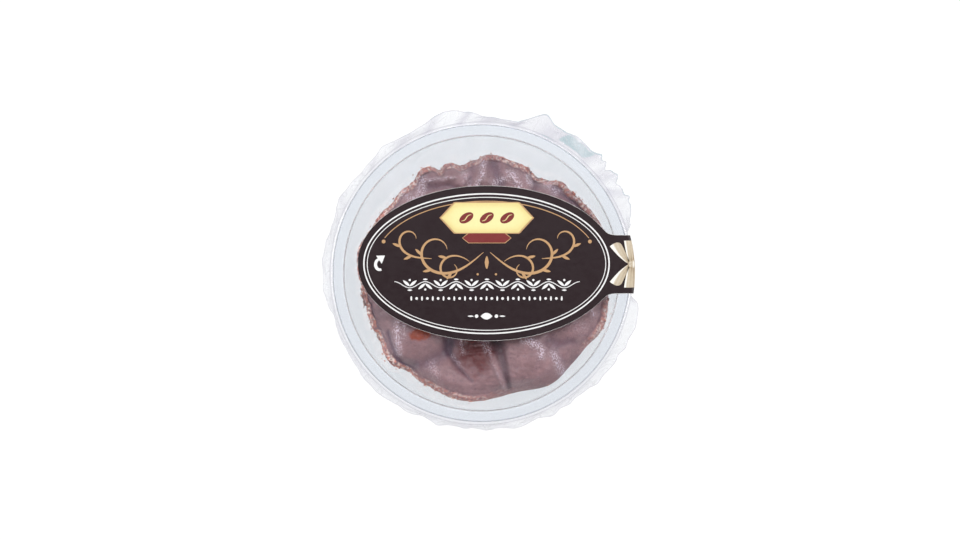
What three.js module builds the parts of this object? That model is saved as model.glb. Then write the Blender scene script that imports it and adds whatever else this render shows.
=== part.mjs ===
// A single-portion chocolate mousse in a clear thermoformed pot.
//
// The pot stands on its base with +Z up. The origin is the centre of the base,
// on the surface the pot stands on, and the label's pull tab points to +X.
// All lengths are millimetres and all azimuths are degrees, counter-clockwise
// from +X.

import * as THREE from 'three';
import { mergeVertices } from 'three/addons/utils/BufferGeometryUtils.js';

// ---------------------------------------------------------------- dimensions

// Clear pot: a round bowl with a flat sealing flange and a turned-down lip.
const potHeight = 45.5;
const flangeOuterRadius = 55.5;
const flangeInnerRadius = 51.7;
const flangeThickness = 1.0;
const lipDrop = 2.6;
const lipThickness = 0.9;
const sealStepDepth = 1.7;
const wallTopRadius = 51.2;
const wallFootRadius = 24.6;
const wallThickness = 0.9;
const wallCurve = 1.18;
const floorTop = 1.8;
const footRingWidth = 3.0;
const recessDepth = 0.8;
const centreDiscRadius = 8;
const potSegments = 60;
const potWallSteps = 5;

// Chocolate mousse: spooned folds that lie against the wall of the pot.
const seatGap = 0.3;
const outlineRadius = 43.5;
const mousseLevel = 32.3;
const mousseTilt = -0.085;
const foldEdgeSlope = 3.4;
const foldBlend = 1.8;
const shoulderStart = 0.84;
const beadWidth = 0.03;
const beadHeight = 0.8;
const crumbHeight = 0.5;
const mousseSegments = 96;
const mousseRings = 24;
const mousseSideRings = 4;

// Sealing film: a flat disc over the flange with a wavy, shrunk skirt.
const filmThickness = 0.3;
const filmLift = 0.1;
const filmBendStart = 55.2;
const filmBendRadius = 1.3;
const skirtDrop = 7.2;
const skirtRadius = 58.3;
const skirtRingCount = 3;
const filmSegments = 144;

// Label: an oval with a pull tab that folds over the rim and down the side.
const labelThickness = 0.3;
const labelLift = 0.1;
const labelCentre = { x: 2.0, y: 3.7 };
const labelHalfLength = 48.05;
const labelHalfWidth = 28.9;
const tabHalfWidth = 10.8;
const tabCentreY = 3.3;
const tabFillet = 2.2;
const tabFoldRadius = 57.4;
const tabBendRadius = 1.4;
const tabHang = 14;
const labelRows = 6;
const ovalSteps = 24;

// Bulges of an outline: how far it steps out, how wide, and at which azimuth.
const mousseBulges = [
  { at: 8, width: 26, out: 5.2 },
  { at: 32, width: 14, out: 1.1 },
  { at: 60, width: 8, out: -1.9 },
  { at: 85, width: 7, out: 1.2 },
  { at: 101, width: 6, out: -2.4 },
  { at: 119, width: 7, out: 1.0 },
  { at: 140, width: 5, out: -2.0 },
  { at: 172, width: 14, out: 3.3 },
  { at: 205, width: 14, out: 1.9 },
  { at: 224, width: 9, out: 3.4 },
  { at: 262, width: 26, out: 4.5 },
  { at: 304, width: 14, out: 4.9 },
  { at: 335, width: 11, out: 4.9 },
];

const skirtBulges = [
  { at: 25, width: 5, out: 3.5 },
  { at: 36, width: 6, out: 3.9 },
  { at: 46, width: 5, out: 3.5 },
  { at: 56, width: 6, out: 3.9 },
  { at: 68, width: 6, out: 5.2 },
  { at: 102, width: 10, out: 3.9 },
  { at: 127, width: 10, out: 1.3 },
  { at: 150, width: 9, out: 1.5 },
  { at: 175, width: 13, out: 1.4 },
  { at: 190, width: 4, out: 1.6 },
  { at: 227, width: 12, out: 1.0 },
  { at: 297, width: 4, out: 0.9 },
  { at: 322, width: 12, out: 1.4 },
  { at: 341, width: 9, out: 2.4 },
];

// Folds of mousse: rounded mounds with a centre, half-axes, a turn in degrees
// and a rise above the general level. Creases run where two mounds meet.
const folds = [
  { x: -25, y: -21, long: 15, wide: 12, turn: 40, rise: 4.6 },
  { x: -17, y: -39, long: 17, wide: 8, turn: -32, rise: 2.6 },
  { x: -1, y: -37, long: 13, wide: 7, turn: 80, rise: 0.6 },
  { x: 18, y: -32, long: 17, wide: 13, turn: 25, rise: 4.4 },
  { x: 38, y: -17, long: 14, wide: 9, turn: 60, rise: 2.6 },
  { x: 36, y: 8, long: 19, wide: 10, turn: 100, rise: 3.0 },
  { x: 27, y: 26, long: 17, wide: 9, turn: 138, rise: 2.2 },
  { x: 8, y: 34, long: 15, wide: 9, turn: 160, rise: 3.0 },
  { x: -14, y: 33, long: 15, wide: 9, turn: 20, rise: 1.6 },
  { x: -33, y: 16, long: 17, wide: 10, turn: 60, rise: 2.4 },
  { x: -34, y: -4, long: 14, wide: 11, turn: 95, rise: 2.0 },
  { x: -6, y: 6, long: 24, wide: 17, turn: 15, rise: 6.4 },
  { x: 15, y: -8, long: 18, wide: 12, turn: -30, rise: 5.4 },
];

// Grooves left by the spoon: from one point to another, half-width and depth.
const grooves = [
  { from: [6.5, -24], to: [11, -44], width: 2.6, depth: 5.0 },
  { from: [-11, -24], to: [-3, -42], width: 2.4, depth: 3.4 },
  { from: [-13, -30], to: [-27, -35], width: 1.8, depth: 2.0 },
  { from: [24, -25], to: [33, -27], width: 3.5, depth: 1.6 },
  { from: [-20, 33], to: [-12, 34], width: 2.2, depth: 1.6 },
  { from: [-2.5, 42], to: [-4, 32], width: 1.8, depth: 1.3 },
  { from: [20, 38], to: [17, 31], width: 2.0, depth: 1.6 },
];

// ------------------------------------------------------------------- helpers

const radians = (degrees) => (degrees * Math.PI) / 180;

const mix = (a, b, share) => a + (b - a) * share;

function smoothstep(low, high, value) {
  const share = Math.min(1, Math.max(0, (value - low) / (high - low)));
  return share * share * (3 - 2 * share);
}

// The larger of two values, with the corner between them rounded.
const smoothMax = (a, b, round) => (a + b + Math.hypot(a - b, round)) / 2;

// Signed angle from b to a, within half a turn either way.
const turnBetween = (a, b) => ((((a - b + 180) % 360) + 360) % 360) - 180;

// Sum of an outline's bulges at one azimuth.
function bulgeAt(bulges, azimuth) {
  let sum = 0;
  for (const { at, width, out } of bulges) {
    sum += out * Math.exp(-((turnBetween(azimuth, at) / width) ** 2));
  }
  return sum;
}

// A closed body from rings of points, all of the same count. The first and
// last rings are single points. Rings run so that the faces point outwards
// when each ring turns counter-clockwise as seen from the first point.
function bodyFromRings(rings) {
  const count = rings[1].length;
  const positions = rings.flat(2);
  const start = [];
  let total = 0;
  for (const ring of rings) {
    start.push(total);
    total += ring.length;
  }
  const index = [];
  const last = rings.length - 1;
  for (let j = 0; j < count; j++) {
    const k = (j + 1) % count;
    index.push(start[0], start[1] + j, start[1] + k);
    for (let i = 1; i < last - 1; i++) {
      const a = start[i] + j;
      const b = start[i] + k;
      const c = start[i + 1] + j;
      const d = start[i + 1] + k;
      index.push(a, c, b, b, c, d);
    }
    index.push(start[last - 1] + j, start[last], start[last - 1] + k);
  }
  return geometryOf(positions, index);
}

function geometryOf(positions, index) {
  const geometry = new THREE.BufferGeometry();
  geometry.setAttribute('position', new THREE.Float32BufferAttribute(positions, 3));
  geometry.setIndex(index);
  geometry.computeVertexNormals();
  return geometry;
}

// Point at a radius, azimuth in radians and height.
const polar = (radius, angle, z) => [radius * Math.cos(angle), radius * Math.sin(angle), z];

// ----------------------------------------------------------------- clear pot

const wallTop = potHeight - sealStepDepth;

// Inner radius of the bowl's wall at a height.
function wallRadius(z) {
  const share = Math.max(0, (z - floorTop) / (wallTop - floorTop));
  return mix(wallFootRadius, wallTopRadius, share ** (1 / wallCurve));
}

// Height of the bowl's wall at an inner radius.
function wallHeight(radius) {
  const share = (radius - wallFootRadius) / (wallTopRadius - wallFootRadius);
  return mix(floorTop, wallTop, share ** wallCurve);
}

// Half section of the pot from the axis under the base, up the outside, over
// the flange and down the inside to the axis again.
function potSection() {
  const section = [
    [0, 0],
    [centreDiscRadius, 0],
    [centreDiscRadius + 1, recessDepth],
    [wallFootRadius - footRingWidth, recessDepth],
    [wallFootRadius - footRingWidth + 1, 0],
    [wallFootRadius, 0],
  ];
  const outerTop = potHeight - flangeThickness;
  for (let i = 1; i <= potWallSteps; i++) {
    const z = mix(floorTop, outerTop, (i - 0.5) / potWallSteps);
    section.push([wallRadius(z - wallThickness / 2) + wallThickness, z]);
  }
  const lipInner = flangeOuterRadius - lipThickness;
  section.push(
    [flangeInnerRadius + wallThickness, outerTop],
    [lipInner, outerTop],
    [lipInner, potHeight - lipDrop],
    [flangeOuterRadius, potHeight - lipDrop],
    [flangeOuterRadius, potHeight - 0.3],
    [flangeOuterRadius - 0.3, potHeight],
    [flangeInnerRadius + 0.3, potHeight],
    [flangeInnerRadius, potHeight - 0.3],
    [flangeInnerRadius, wallTop + 0.3],
    [wallTopRadius, wallTop],
  );
  for (let i = 1; i <= potWallSteps; i++) {
    const z = mix(wallTop, floorTop, i / potWallSteps);
    section.push([wallRadius(z), z]);
  }
  section.push([wallFootRadius - 1.4, floorTop - 0.2], [0, floorTop - 0.2]);
  return section.map(([radius, z]) => new THREE.Vector2(radius, z));
}

function potGeometry() {
  const lathe = new THREE.LatheGeometry(potSection(), potSegments);
  lathe.deleteAttribute('normal');
  lathe.deleteAttribute('uv');
  return mergeVertices(lathe).rotateX(Math.PI / 2);
}

// ---------------------------------------------------------- chocolate mousse

// Radius of the line where the mousse meets the wall.
const contactRadius = (azimuth) => outlineRadius + bulgeAt(mousseBulges, azimuth);

// Height of one fold above the general level, falling away past its edge.
function foldRise({ x, y, long, wide, turn, rise }, px, py) {
  const angle = radians(turn);
  const along = (px - x) * Math.cos(angle) + (py - y) * Math.sin(angle);
  const across = (py - y) * Math.cos(angle) - (px - x) * Math.sin(angle);
  const reach = (along / long) ** 2 + (across / wide) ** 2;
  return rise + foldEdgeSlope * (1 - reach);
}

// Depth of one groove at a point.
function grooveDepth({ from, to, width, depth }, px, py) {
  const run = [to[0] - from[0], to[1] - from[1]];
  const lengthSquared = run[0] ** 2 + run[1] ** 2;
  const share = ((px - from[0]) * run[0] + (py - from[1]) * run[1]) / lengthSquared;
  const held = Math.min(1, Math.max(0, share));
  const gap = Math.hypot(px - from[0] - held * run[0], py - from[1] - held * run[1]);
  return depth * (1 - 0.45 * held) * Math.exp(-((gap / width) ** 2));
}

// Uneven, crumbly height from a few crossing waves.
const crumb = (x, y) =>
  (Math.sin(1.9 * x + 0.7 * y) + Math.sin(2.3 * y - 1.1 * x + 2) + Math.sin(1.3 * (x + y) + 4)) / 3;

// Height of the mousse surface where nothing else shapes it.
function mousseTop(x, y) {
  let rise = 0;
  for (const fold of folds) {
    rise = smoothMax(rise, foldRise(fold, x, y), foldBlend);
  }
  for (const groove of grooves) {
    rise -= grooveDepth(groove, x, y);
  }
  return mousseLevel + mousseTilt * y + rise;
}

// Rings from the middle of the top, out to the wall, and down to the floor.
function mousseRingsOfPoints() {
  const ringAt = (place) => {
    const ring = [];
    for (let j = 0; j < mousseSegments; j++) {
      const angle = (j / mousseSegments) * 2 * Math.PI;
      ring.push(place(angle, contactRadius((angle * 180) / Math.PI)));
    }
    return ring;
  };
  const rings = [[[0, 0, mousseTop(0, 0)]]];
  for (let i = 1; i <= mousseRings; i++) {
    const share = 1 - (1 - i / mousseRings) ** 1.35;
    rings.push(
      ringAt((angle, contact) => {
        const [x, y] = polar(share * contact, angle, 0);
        const onWall = wallHeight(contact + seatGap);
        const bead = beadHeight * Math.exp(-(((share - 0.965) / beadWidth) ** 2));
        const rough = crumbHeight * crumb(x, y) * smoothstep(0.85, 0.97, share);
        const shoulder = smoothstep(shoulderStart, 1, share) ** 2;
        const height = mix(mousseTop(x, y), onWall, shoulder);
        return [x, y, height + (bead + rough) * (share < 1 ? 1 : 0)];
      }),
    );
  }
  const bottom = floorTop + seatGap;
  for (let i = 1; i <= mousseSideRings; i++) {
    rings.push(
      ringAt((angle, contact) => {
        const z = mix(wallHeight(contact + seatGap), bottom, i / mousseSideRings);
        return polar(wallRadius(z) - seatGap, angle, z);
      }),
    );
  }
  rings.push([[0, 0, bottom]]);
  return rings;
}

// -------------------------------------------------------------- sealing film

const filmTop = potHeight + filmLift + filmThickness;

// Share of the skirt's free shape at an azimuth: none where the tab holds it.
function freeShare(azimuth) {
  const fromTab = turnBetween(azimuth, 3.4);
  return smoothstep(12.5, 17, Math.abs(fromTab));
}

// Radius and drop of the skirt's lower edge.
function skirtEdge(azimuth) {
  const free = freeShare(azimuth);
  const held = tabFoldRadius - labelThickness - 0.3;
  const wave = 0.25 * Math.sin(radians(azimuth * 23)) + 0.2 * Math.sin(radians(azimuth * 37 + 50));
  const radius = mix(held, skirtRadius + bulgeAt(skirtBulges, azimuth) + wave, free);
  const drop = skirtDrop + 0.9 * Math.sin(radians(azimuth * 7 + 30)) - 0.5 * (radius - skirtRadius);
  return { radius, drop: mix(skirtDrop, drop, free) };
}

// Half section of the film at an azimuth. An inset of zero is the outer face.
function filmSection(azimuth, inset) {
  const { radius, drop } = skirtEdge(azimuth);
  const top = filmTop - inset;
  const bend = filmBendRadius - inset;
  const centreZ = filmTop - filmBendRadius;
  const section = [[filmBendStart, top]];
  const middle = bend * Math.SQRT1_2;
  section.push([filmBendStart + middle, centreZ + middle]);
  const start = filmBendStart + bend;
  for (let i = 0; i <= skirtRingCount; i++) {
    const share = i / skirtRingCount;
    section.push([mix(start, radius - inset, share ** 1.15), centreZ - drop * share]);
  }
  return section;
}

function filmRingsOfPoints() {
  const outer = [];
  const inner = [];
  for (let j = 0; j < filmSegments; j++) {
    const azimuth = (j / filmSegments) * 360;
    outer.push(filmSection(azimuth, 0));
    inner.push(filmSection(azimuth, filmThickness));
  }
  const ringOf = (sections, i) =>
    sections.map((section, j) => polar(section[i][0], (j / filmSegments) * 2 * Math.PI, section[i][1]));
  const steps = outer[0].length;
  const rings = [[[0, 0, filmTop]]];
  for (let i = 0; i < steps; i++) {
    rings.push(ringOf(outer, i));
  }
  for (let i = steps - 1; i >= 0; i--) {
    rings.push(ringOf(inner, i));
  }
  rings.push([[0, 0, filmTop - filmThickness]]);
  return rings;
}

// --------------------------------------------------------------------- label

const labelTop = filmTop + labelLift + labelThickness;
const labelLeft = labelCentre.x - labelHalfLength;
const labelRight = labelCentre.x + labelHalfLength;

// Half-width of the flat label at a place along X: oval, fillet, then tab.
function halfWidthAt(x) {
  const along = Math.min(1, Math.abs(x - labelCentre.x) / labelHalfLength);
  const oval = labelHalfWidth * Math.sqrt(1 - along * along);
  const share = smoothstep(10, 30, x);
  return share > 0 ? smoothMax(oval, tabHalfWidth * share, tabFillet * share) : oval;
}

const centreYAt = (x) => mix(labelCentre.y, tabCentreY, smoothstep(38, labelRight, x));

// The label's stations along its length. Each gives a point from the station's
// row of the width and the depth below the printed face.
function labelStations() {
  const stations = [];
  for (let i = 1; i < ovalSteps; i++) {
    const x = labelCentre.x - labelHalfLength * Math.cos((Math.PI * i) / ovalSteps);
    const place = (row, depth) => [x, centreYAt(x) + row * halfWidthAt(x), labelTop - depth];
    stations.push(place);
  }
  const tabY = (row) => tabCentreY + row * halfWidthAt(labelRight);
  const bend = (row, depth, turn, hang) => {
    const y = tabY(row);
    const fold = Math.sqrt((tabFoldRadius - depth) ** 2 - y * y) - (tabBendRadius - depth);
    const radius = tabBendRadius - depth;
    const z = labelTop - tabBendRadius + radius * Math.cos(turn) - hang;
    return [fold + radius * Math.sin(turn), y, z];
  };
  for (const turn of [0, 30, 60, 90]) {
    stations.push((row, depth) => bend(row, depth, radians(turn), 0));
  }
  for (const share of [0.5, 1]) {
    stations.push((row, depth) => bend(row, depth, Math.PI / 2, tabHang * share));
  }
  return stations;
}

// A closed sheet: the printed face, the back, and the edge between them.
function labelGeometry() {
  const stations = labelStations();
  const positions = [];
  const index = [];
  const columns = labelRows + 1;
  const faceCount = stations.length * columns + 1;
  const tip = stations.length * columns;
  for (const depth of [0, labelThickness]) {
    for (const place of stations) {
      for (let k = 0; k < columns; k++) {
        positions.push(...place((2 * k) / labelRows - 1, depth));
      }
    }
    positions.push(labelLeft, labelCentre.y, labelTop - depth);
  }
  const face = (a, b, c) => {
    index.push(a, b, c, faceCount + a, faceCount + c, faceCount + b);
  };
  const edge = (a, b) => {
    index.push(a, faceCount + b, b, a, faceCount + a, faceCount + b);
  };
  const at = (i, k) => i * columns + k;
  const last = stations.length - 1;
  for (let k = 0; k < labelRows; k++) {
    face(tip, at(0, k), at(0, k + 1));
    for (let i = 0; i < last; i++) {
      face(at(i, k), at(i + 1, k), at(i + 1, k + 1));
      face(at(i, k), at(i + 1, k + 1), at(i, k + 1));
    }
    edge(at(last, k), at(last, k + 1));
  }
  edge(tip, at(0, 0));
  edge(at(0, labelRows), tip);
  for (let i = 0; i < last; i++) {
    edge(at(i, 0), at(i + 1, 0));
    edge(at(i + 1, labelRows), at(i, labelRows));
  }
  return geometryOf(positions, index);
}

// --------------------------------------------------------------------- parts

function namedMesh(name, geometry, finish) {
  const mesh = new THREE.Mesh(geometry, new THREE.MeshStandardMaterial(finish));
  mesh.name = name;
  return mesh;
}

const mousseCup = new THREE.Group();
mousseCup.add(
  namedMesh('cup', potGeometry(), {
    color: 0xe4e5ea, roughness: 0.08, metalness: 0, transparent: true, opacity: 0.35,
  }),
  namedMesh('mousse', bodyFromRings(mousseRingsOfPoints()), {
    color: 0x8a6a68, roughness: 0.55, metalness: 0,
  }),
  namedMesh('lid_film', bodyFromRings(filmRingsOfPoints()), {
    color: 0xf2f3f6, roughness: 0.15, metalness: 0, transparent: true, opacity: 0.3,
  }),
  namedMesh('label', labelGeometry(), {
    color: 0x3a2d30, roughness: 0.4, metalness: 0,
  }),
);

export default mousseCup;
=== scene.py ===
"""Chocolate mousse in a sealed clear pot, dressed over its CAD frame.

Every size below is in millimetres and every azimuth in degrees, counter-clockwise
from +X, as on the drawing of the pot. Meshes are written in metres. The origin is
the centre of the pot's base and +Z is up.
"""

from __future__ import annotations

import logging
from dataclasses import dataclass, field
from enum import Enum

import bpy
import numpy as np
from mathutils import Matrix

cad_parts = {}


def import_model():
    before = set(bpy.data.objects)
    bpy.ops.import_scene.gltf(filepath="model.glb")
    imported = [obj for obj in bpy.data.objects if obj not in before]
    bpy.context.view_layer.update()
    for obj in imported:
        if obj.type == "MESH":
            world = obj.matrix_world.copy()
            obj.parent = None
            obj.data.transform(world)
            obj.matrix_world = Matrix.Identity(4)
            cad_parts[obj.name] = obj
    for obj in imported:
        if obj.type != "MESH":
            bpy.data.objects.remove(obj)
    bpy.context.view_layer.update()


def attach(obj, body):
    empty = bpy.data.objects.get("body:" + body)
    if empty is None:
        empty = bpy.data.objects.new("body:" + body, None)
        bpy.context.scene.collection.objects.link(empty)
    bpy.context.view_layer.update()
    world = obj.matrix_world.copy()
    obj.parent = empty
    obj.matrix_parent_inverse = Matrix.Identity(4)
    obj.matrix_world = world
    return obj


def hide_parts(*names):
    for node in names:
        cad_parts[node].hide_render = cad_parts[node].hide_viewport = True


Array = np.ndarray
Place = tuple[float, float]
Triple = tuple[float, float, float]
Colour = Triple
Socket = bpy.types.NodeSocket
Node = bpy.types.Node
Material = bpy.types.Material
Piece = bpy.types.Object

LOG = logging.getLogger("mousse_pot")
METRE = 0.001
ROOT = "root"
NOISE_CELLS = 256


# ---------- numbers


def mix(a: float | Array, b: float | Array, share: float | Array) -> Array:
    """Return the straight blend from a to b."""
    return a + (b - a) * share


def ramp(low: float, high: float, value: Array) -> Array:
    """Return a ramp from 0 at low to 1 at high: 3 s squared less 2 s cubed of the share s."""
    share = np.clip((np.asarray(value, float) - low) / (high - low), 0.0, 1.0)
    return share * share * (3.0 - 2.0 * share)


def bell(offset: Array, width: float | Array, power: float = 2.0) -> Array:
    """Return a bell curve: 1 at its middle and 1/e at its width; a high power flattens its top."""
    return np.exp(-((offset / width) ** power))


def smooth_max(a: Array, b: Array, rounding: float) -> Array:
    """Return the larger of two values, with the corner between them rounded."""
    return (a + b + np.hypot(a - b, rounding)) / 2.0


def drawn_curve(start: Array, bend: Array, end: Array, share: Array) -> Array:
    """Return a curve drawn to a bend: the blend of the blends from start to bend and on to end."""
    return mix(mix(start, bend, share), mix(bend, end, share), share)


def turn_between(a: Array, b: float) -> Array:
    """Return the signed angle from b to a in degrees, within half a turn."""
    return (np.asarray(a, float) - b + 180.0) % 360.0 - 180.0


def cell_heights(u: Array, v: Array, seed: int, period: int) -> tuple[Array, Array, list[Array]]:
    """Look up the random heights at the four corners of each place's cell.

    Args:
        u: First coordinate, in cells. It repeats after the period.
        v: Second coordinate, in cells.
        seed: Seed of the random heights.
        period: Whole number of cells after which u repeats.

    Returns:
        The share of the way across the cell in u, the share in v, and the
        heights at its corners: low and next in u, then the same a cell up in v.
    """
    table = np.random.default_rng(seed).uniform(-1.0, 1.0, (period, NOISE_CELLS))
    cell_u, cell_v = np.floor(u).astype(int), np.floor(v).astype(int)
    near_u, next_u = cell_u % period, (cell_u + 1) % period
    near_v, next_v = cell_v % NOISE_CELLS, (cell_v + 1) % NOISE_CELLS
    corners = [table[at_u, at_v] for at_v in (near_v, next_v) for at_u in (near_u, next_u)]
    return u - cell_u, v - cell_v, corners


def lattice_noise(u: Array, v: Array, seed: int, period: int = NOISE_CELLS) -> Array:
    """Return smooth noise from -1 to 1 over a plane.

    Random heights sit at whole-numbered places, and an eased blend of the four
    nearest fills the space between them.

    Args:
        u: First coordinate, in cells. It repeats after the period.
        v: Second coordinate, in cells.
        seed: Seed of the random heights.
        period: Whole number of cells after which u repeats.

    Returns:
        One height for each place.
    """
    across, up, (here, right, above, far) = cell_heights(u, v, seed, period)
    across, up = ramp(0.0, 1.0, across), ramp(0.0, 1.0, up)
    return mix(mix(here, right, across), mix(above, far, across), up)


def creased_noise(u: Array, v: Array, seed: int, period: int = NOISE_CELLS) -> Array:
    """Return noise from -1 to 1 that is made of flat facets with sharp creases.

    Random heights sit at whole-numbered places. Each square between four of them
    is cut along its diagonal, and each half is the flat triangle through its
    three heights.

    Args:
        u: First coordinate, in cells. It repeats after the period.
        v: Second coordinate, in cells.
        seed: Seed of the random heights.
        period: Whole number of cells after which u repeats.

    Returns:
        One height for each place.
    """
    across, up, (here, right, above, far) = cell_heights(u, v, seed, period)
    lower = here + across * (right - here) + up * (above - here)
    upper = far + (1.0 - across) * (above - far) + (1.0 - up) * (right - far)
    return np.where(across + up < 1.0, lower, upper)


def layered_noise(u: Array, v: Array, seed: int, layers: int = 3) -> Array:
    """Return noise whose layers halve in height and nearly double in fineness.

    Args:
        u: First coordinate, in cells of the coarsest layer.
        v: Second coordinate, in cells of the coarsest layer.
        seed: Seed of the first layer; each next one adds 1.
        layers: How many layers are added.

    Returns:
        One height for each place, about -1 to 1.
    """
    total = np.zeros(np.broadcast(u, v).shape)
    for layer in range(layers):
        fineness = 1.93**layer
        total += lattice_noise(u * fineness, v * fineness, seed + layer) / 2**layer
    return total / 1.6


@dataclass(frozen=True)
class Bulge:
    """One step of an outline: its azimuth, its half-width and how far it stands out."""

    at: float
    width: float
    out: float

    def reach(self, azimuth: Array) -> Array:
        """Return the bell curve of the bulge at some azimuths."""
        return self.out * bell(turn_between(azimuth, self.at), self.width)


def bulges(*rows: Triple) -> tuple[Bulge, ...]:
    """Return one bulge for each row of azimuth, half-width and how far it stands out."""
    return tuple(Bulge(*row) for row in rows)


def bulges_at(outline: tuple[Bulge, ...], azimuth: Array) -> Array:
    """Return the sum of an outline's bulges at some azimuths."""
    return sum(bulge.reach(azimuth) for bulge in outline)


# ---------- meshes


def in_scene(name: str, data: bpy.types.ID) -> Piece:
    """Return a new object that holds the data, linked to the scene."""
    piece = bpy.data.objects.new(name, data)
    bpy.context.scene.collection.objects.link(piece)
    return piece


@dataclass
class Draft:
    """Points, faces and point values of a piece that is being worked out.

    Attributes:
        points: One row of x, y, z in millimetres for each point.
        quads: Four point numbers for each four-sided face.
        triangles: Three point numbers for each three-sided face.
        values: Named values for the finish, one for each point.
    """

    points: Array
    quads: Array
    triangles: Array = field(default_factory=lambda: np.zeros((0, 3), int))
    values: dict[str, Array] = field(default_factory=dict)

    @staticmethod
    def joined(drafts: list[Draft]) -> Draft:
        """Return one draft that holds several with the same named values, numbered on."""
        starts = np.cumsum([0] + [len(d.points) for d in drafts])
        return Draft(
            np.vstack([d.points for d in drafts]),
            np.vstack([d.quads + s for d, s in zip(drafts, starts)]),
            np.vstack([d.triangles + s for d, s in zip(drafts, starts)]),
            {k: np.concatenate([d.values[k] for d in drafts]) for k in drafts[0].values},
        )

    def to_piece(self, name: str, material: Material, smooth: bool = True) -> Piece:
        """Write the draft into a mesh object at the origin.

        Args:
            name: Name of the piece.
            material: Material of all its faces.
            smooth: Whether its faces are shaded smooth.

        Returns:
            The new object, riding on the pot's one body.
        """
        mesh = bpy.data.meshes.new(name)
        sizes = np.concatenate([np.full(len(self.quads), 4), np.full(len(self.triangles), 3)])
        corners = np.concatenate([self.quads.ravel(), self.triangles.ravel()])
        mesh.vertices.add(len(self.points))
        mesh.vertices.foreach_set("co", (self.points * METRE).astype(np.float32).ravel())
        mesh.loops.add(len(corners))
        mesh.loops.foreach_set("vertex_index", corners.astype(np.int32))
        mesh.polygons.add(len(sizes))
        mesh.polygons.foreach_set("loop_start", (np.cumsum(sizes) - sizes).astype(np.int32))
        mesh.polygons.foreach_set("use_smooth", np.full(len(sizes), smooth))
        mesh.update(calc_edges=True)
        mesh.validate()
        for key, value in self.values.items():
            layer = mesh.attributes.new(key, "FLOAT", "POINT")
            layer.data.foreach_set("value", value.astype(np.float32))
        mesh.materials.append(material)
        piece = in_scene(name, mesh)
        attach(piece, ROOT)
        LOG.info("%s: %d points, %d faces", name, len(self.points), len(sizes))
        return piece


def grid_quads(rows: int, columns: int, closed: bool) -> Array:
    """Return the faces of a grid of points numbered row by row.

    Args:
        rows: Number of rows of points.
        columns: Number of points in a row.
        closed: Whether the last column joins the first.

    Returns:
        Point numbers, turning from a row to the next and then along it.
    """
    spans = columns if closed else columns - 1
    row, column = np.meshgrid(np.arange(rows - 1), np.arange(spans), indexing="ij")
    here, beside = row * columns + column, row * columns + (column + 1) % columns
    return np.stack([here, here + columns, beside + columns, beside], -1).reshape(-1, 4)


def pole_caps(rows: int, around: int) -> Array:
    """Return the fans between a stack of closed rings and a pole at each end.

    The first pole is numbered just after the rings' points, and the last pole
    after it.

    Args:
        rows: Number of rings.
        around: Number of points in a ring.

    Returns:
        Point numbers of the first pole's fan, then of the last pole's fan.
    """
    place = np.arange(around)
    after = (place + 1) % around
    end, pole = (rows - 1) * around, np.full(around, rows * around)
    first = np.stack([pole, place, after], -1)
    last = np.stack([end + place, pole + 1, end + after], -1)
    return np.vstack([first, last])


def ringed_body(rings: Array, first: Array, last: Array, values: dict[str, Array]) -> Draft:
    """Close a stack of rings with a pole at each end.

    The faces point outwards where the rings turn counter-clockwise as seen from
    the first pole.

    Args:
        rings: Points by ring and place round the ring.
        first: The pole next to the first ring.
        last: The pole next to the last ring.
        values: Named values by ring and place; the poles repeat the nearest mean.

    Returns:
        A closed body.
    """
    count, around = rings.shape[:2]
    filled = {k: np.concatenate([v.ravel(), [v[0].mean(), v[-1].mean()]]) for k, v in values.items()}
    points = np.vstack([rings.reshape(-1, 3), first, last])
    return Draft(points, grid_quads(count, around, True), pole_caps(count, around), filled)


def polar(radius: Array, azimuth: Array, height: Array) -> Array:
    """Return points from a radius, an azimuth in degrees and a height."""
    angle = np.radians(azimuth)
    parts = np.broadcast_arrays(radius * np.cos(angle), radius * np.sin(angle), height)
    return np.stack(parts, -1)


def eased_path(corners: list[Triple], steps: int = 5) -> Array:
    """Round the corners of a section.

    Each corner gives its radius, its height and how far before and after it the
    round starts. The round is a curve of second degree, drawn to the corner.

    Args:
        corners: Corners in order, the round being 0 where it stays sharp.
        steps: Spans of each round.

    Returns:
        Radius and height of the points of the section.
    """
    places = np.array([c[:2] for c in corners])
    path = [places[:1]]
    share = np.linspace(0.0, 1.0, steps + 1)[:, None]
    for before, here, after, (_, _, ease) in zip(places, places[1:], places[2:], corners[1:]):
        if ease <= 0.0:
            path.append(here[None])
            continue
        back, ahead = before - here, after - here
        start = here + back * min(ease / np.linalg.norm(back), 0.5)
        end = here + ahead * min(ease / np.linalg.norm(ahead), 0.5)
        path.append(drawn_curve(start, here, end, share))
    path.append(places[-1:])
    return np.vstack(path)


# ---------- materials


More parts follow.
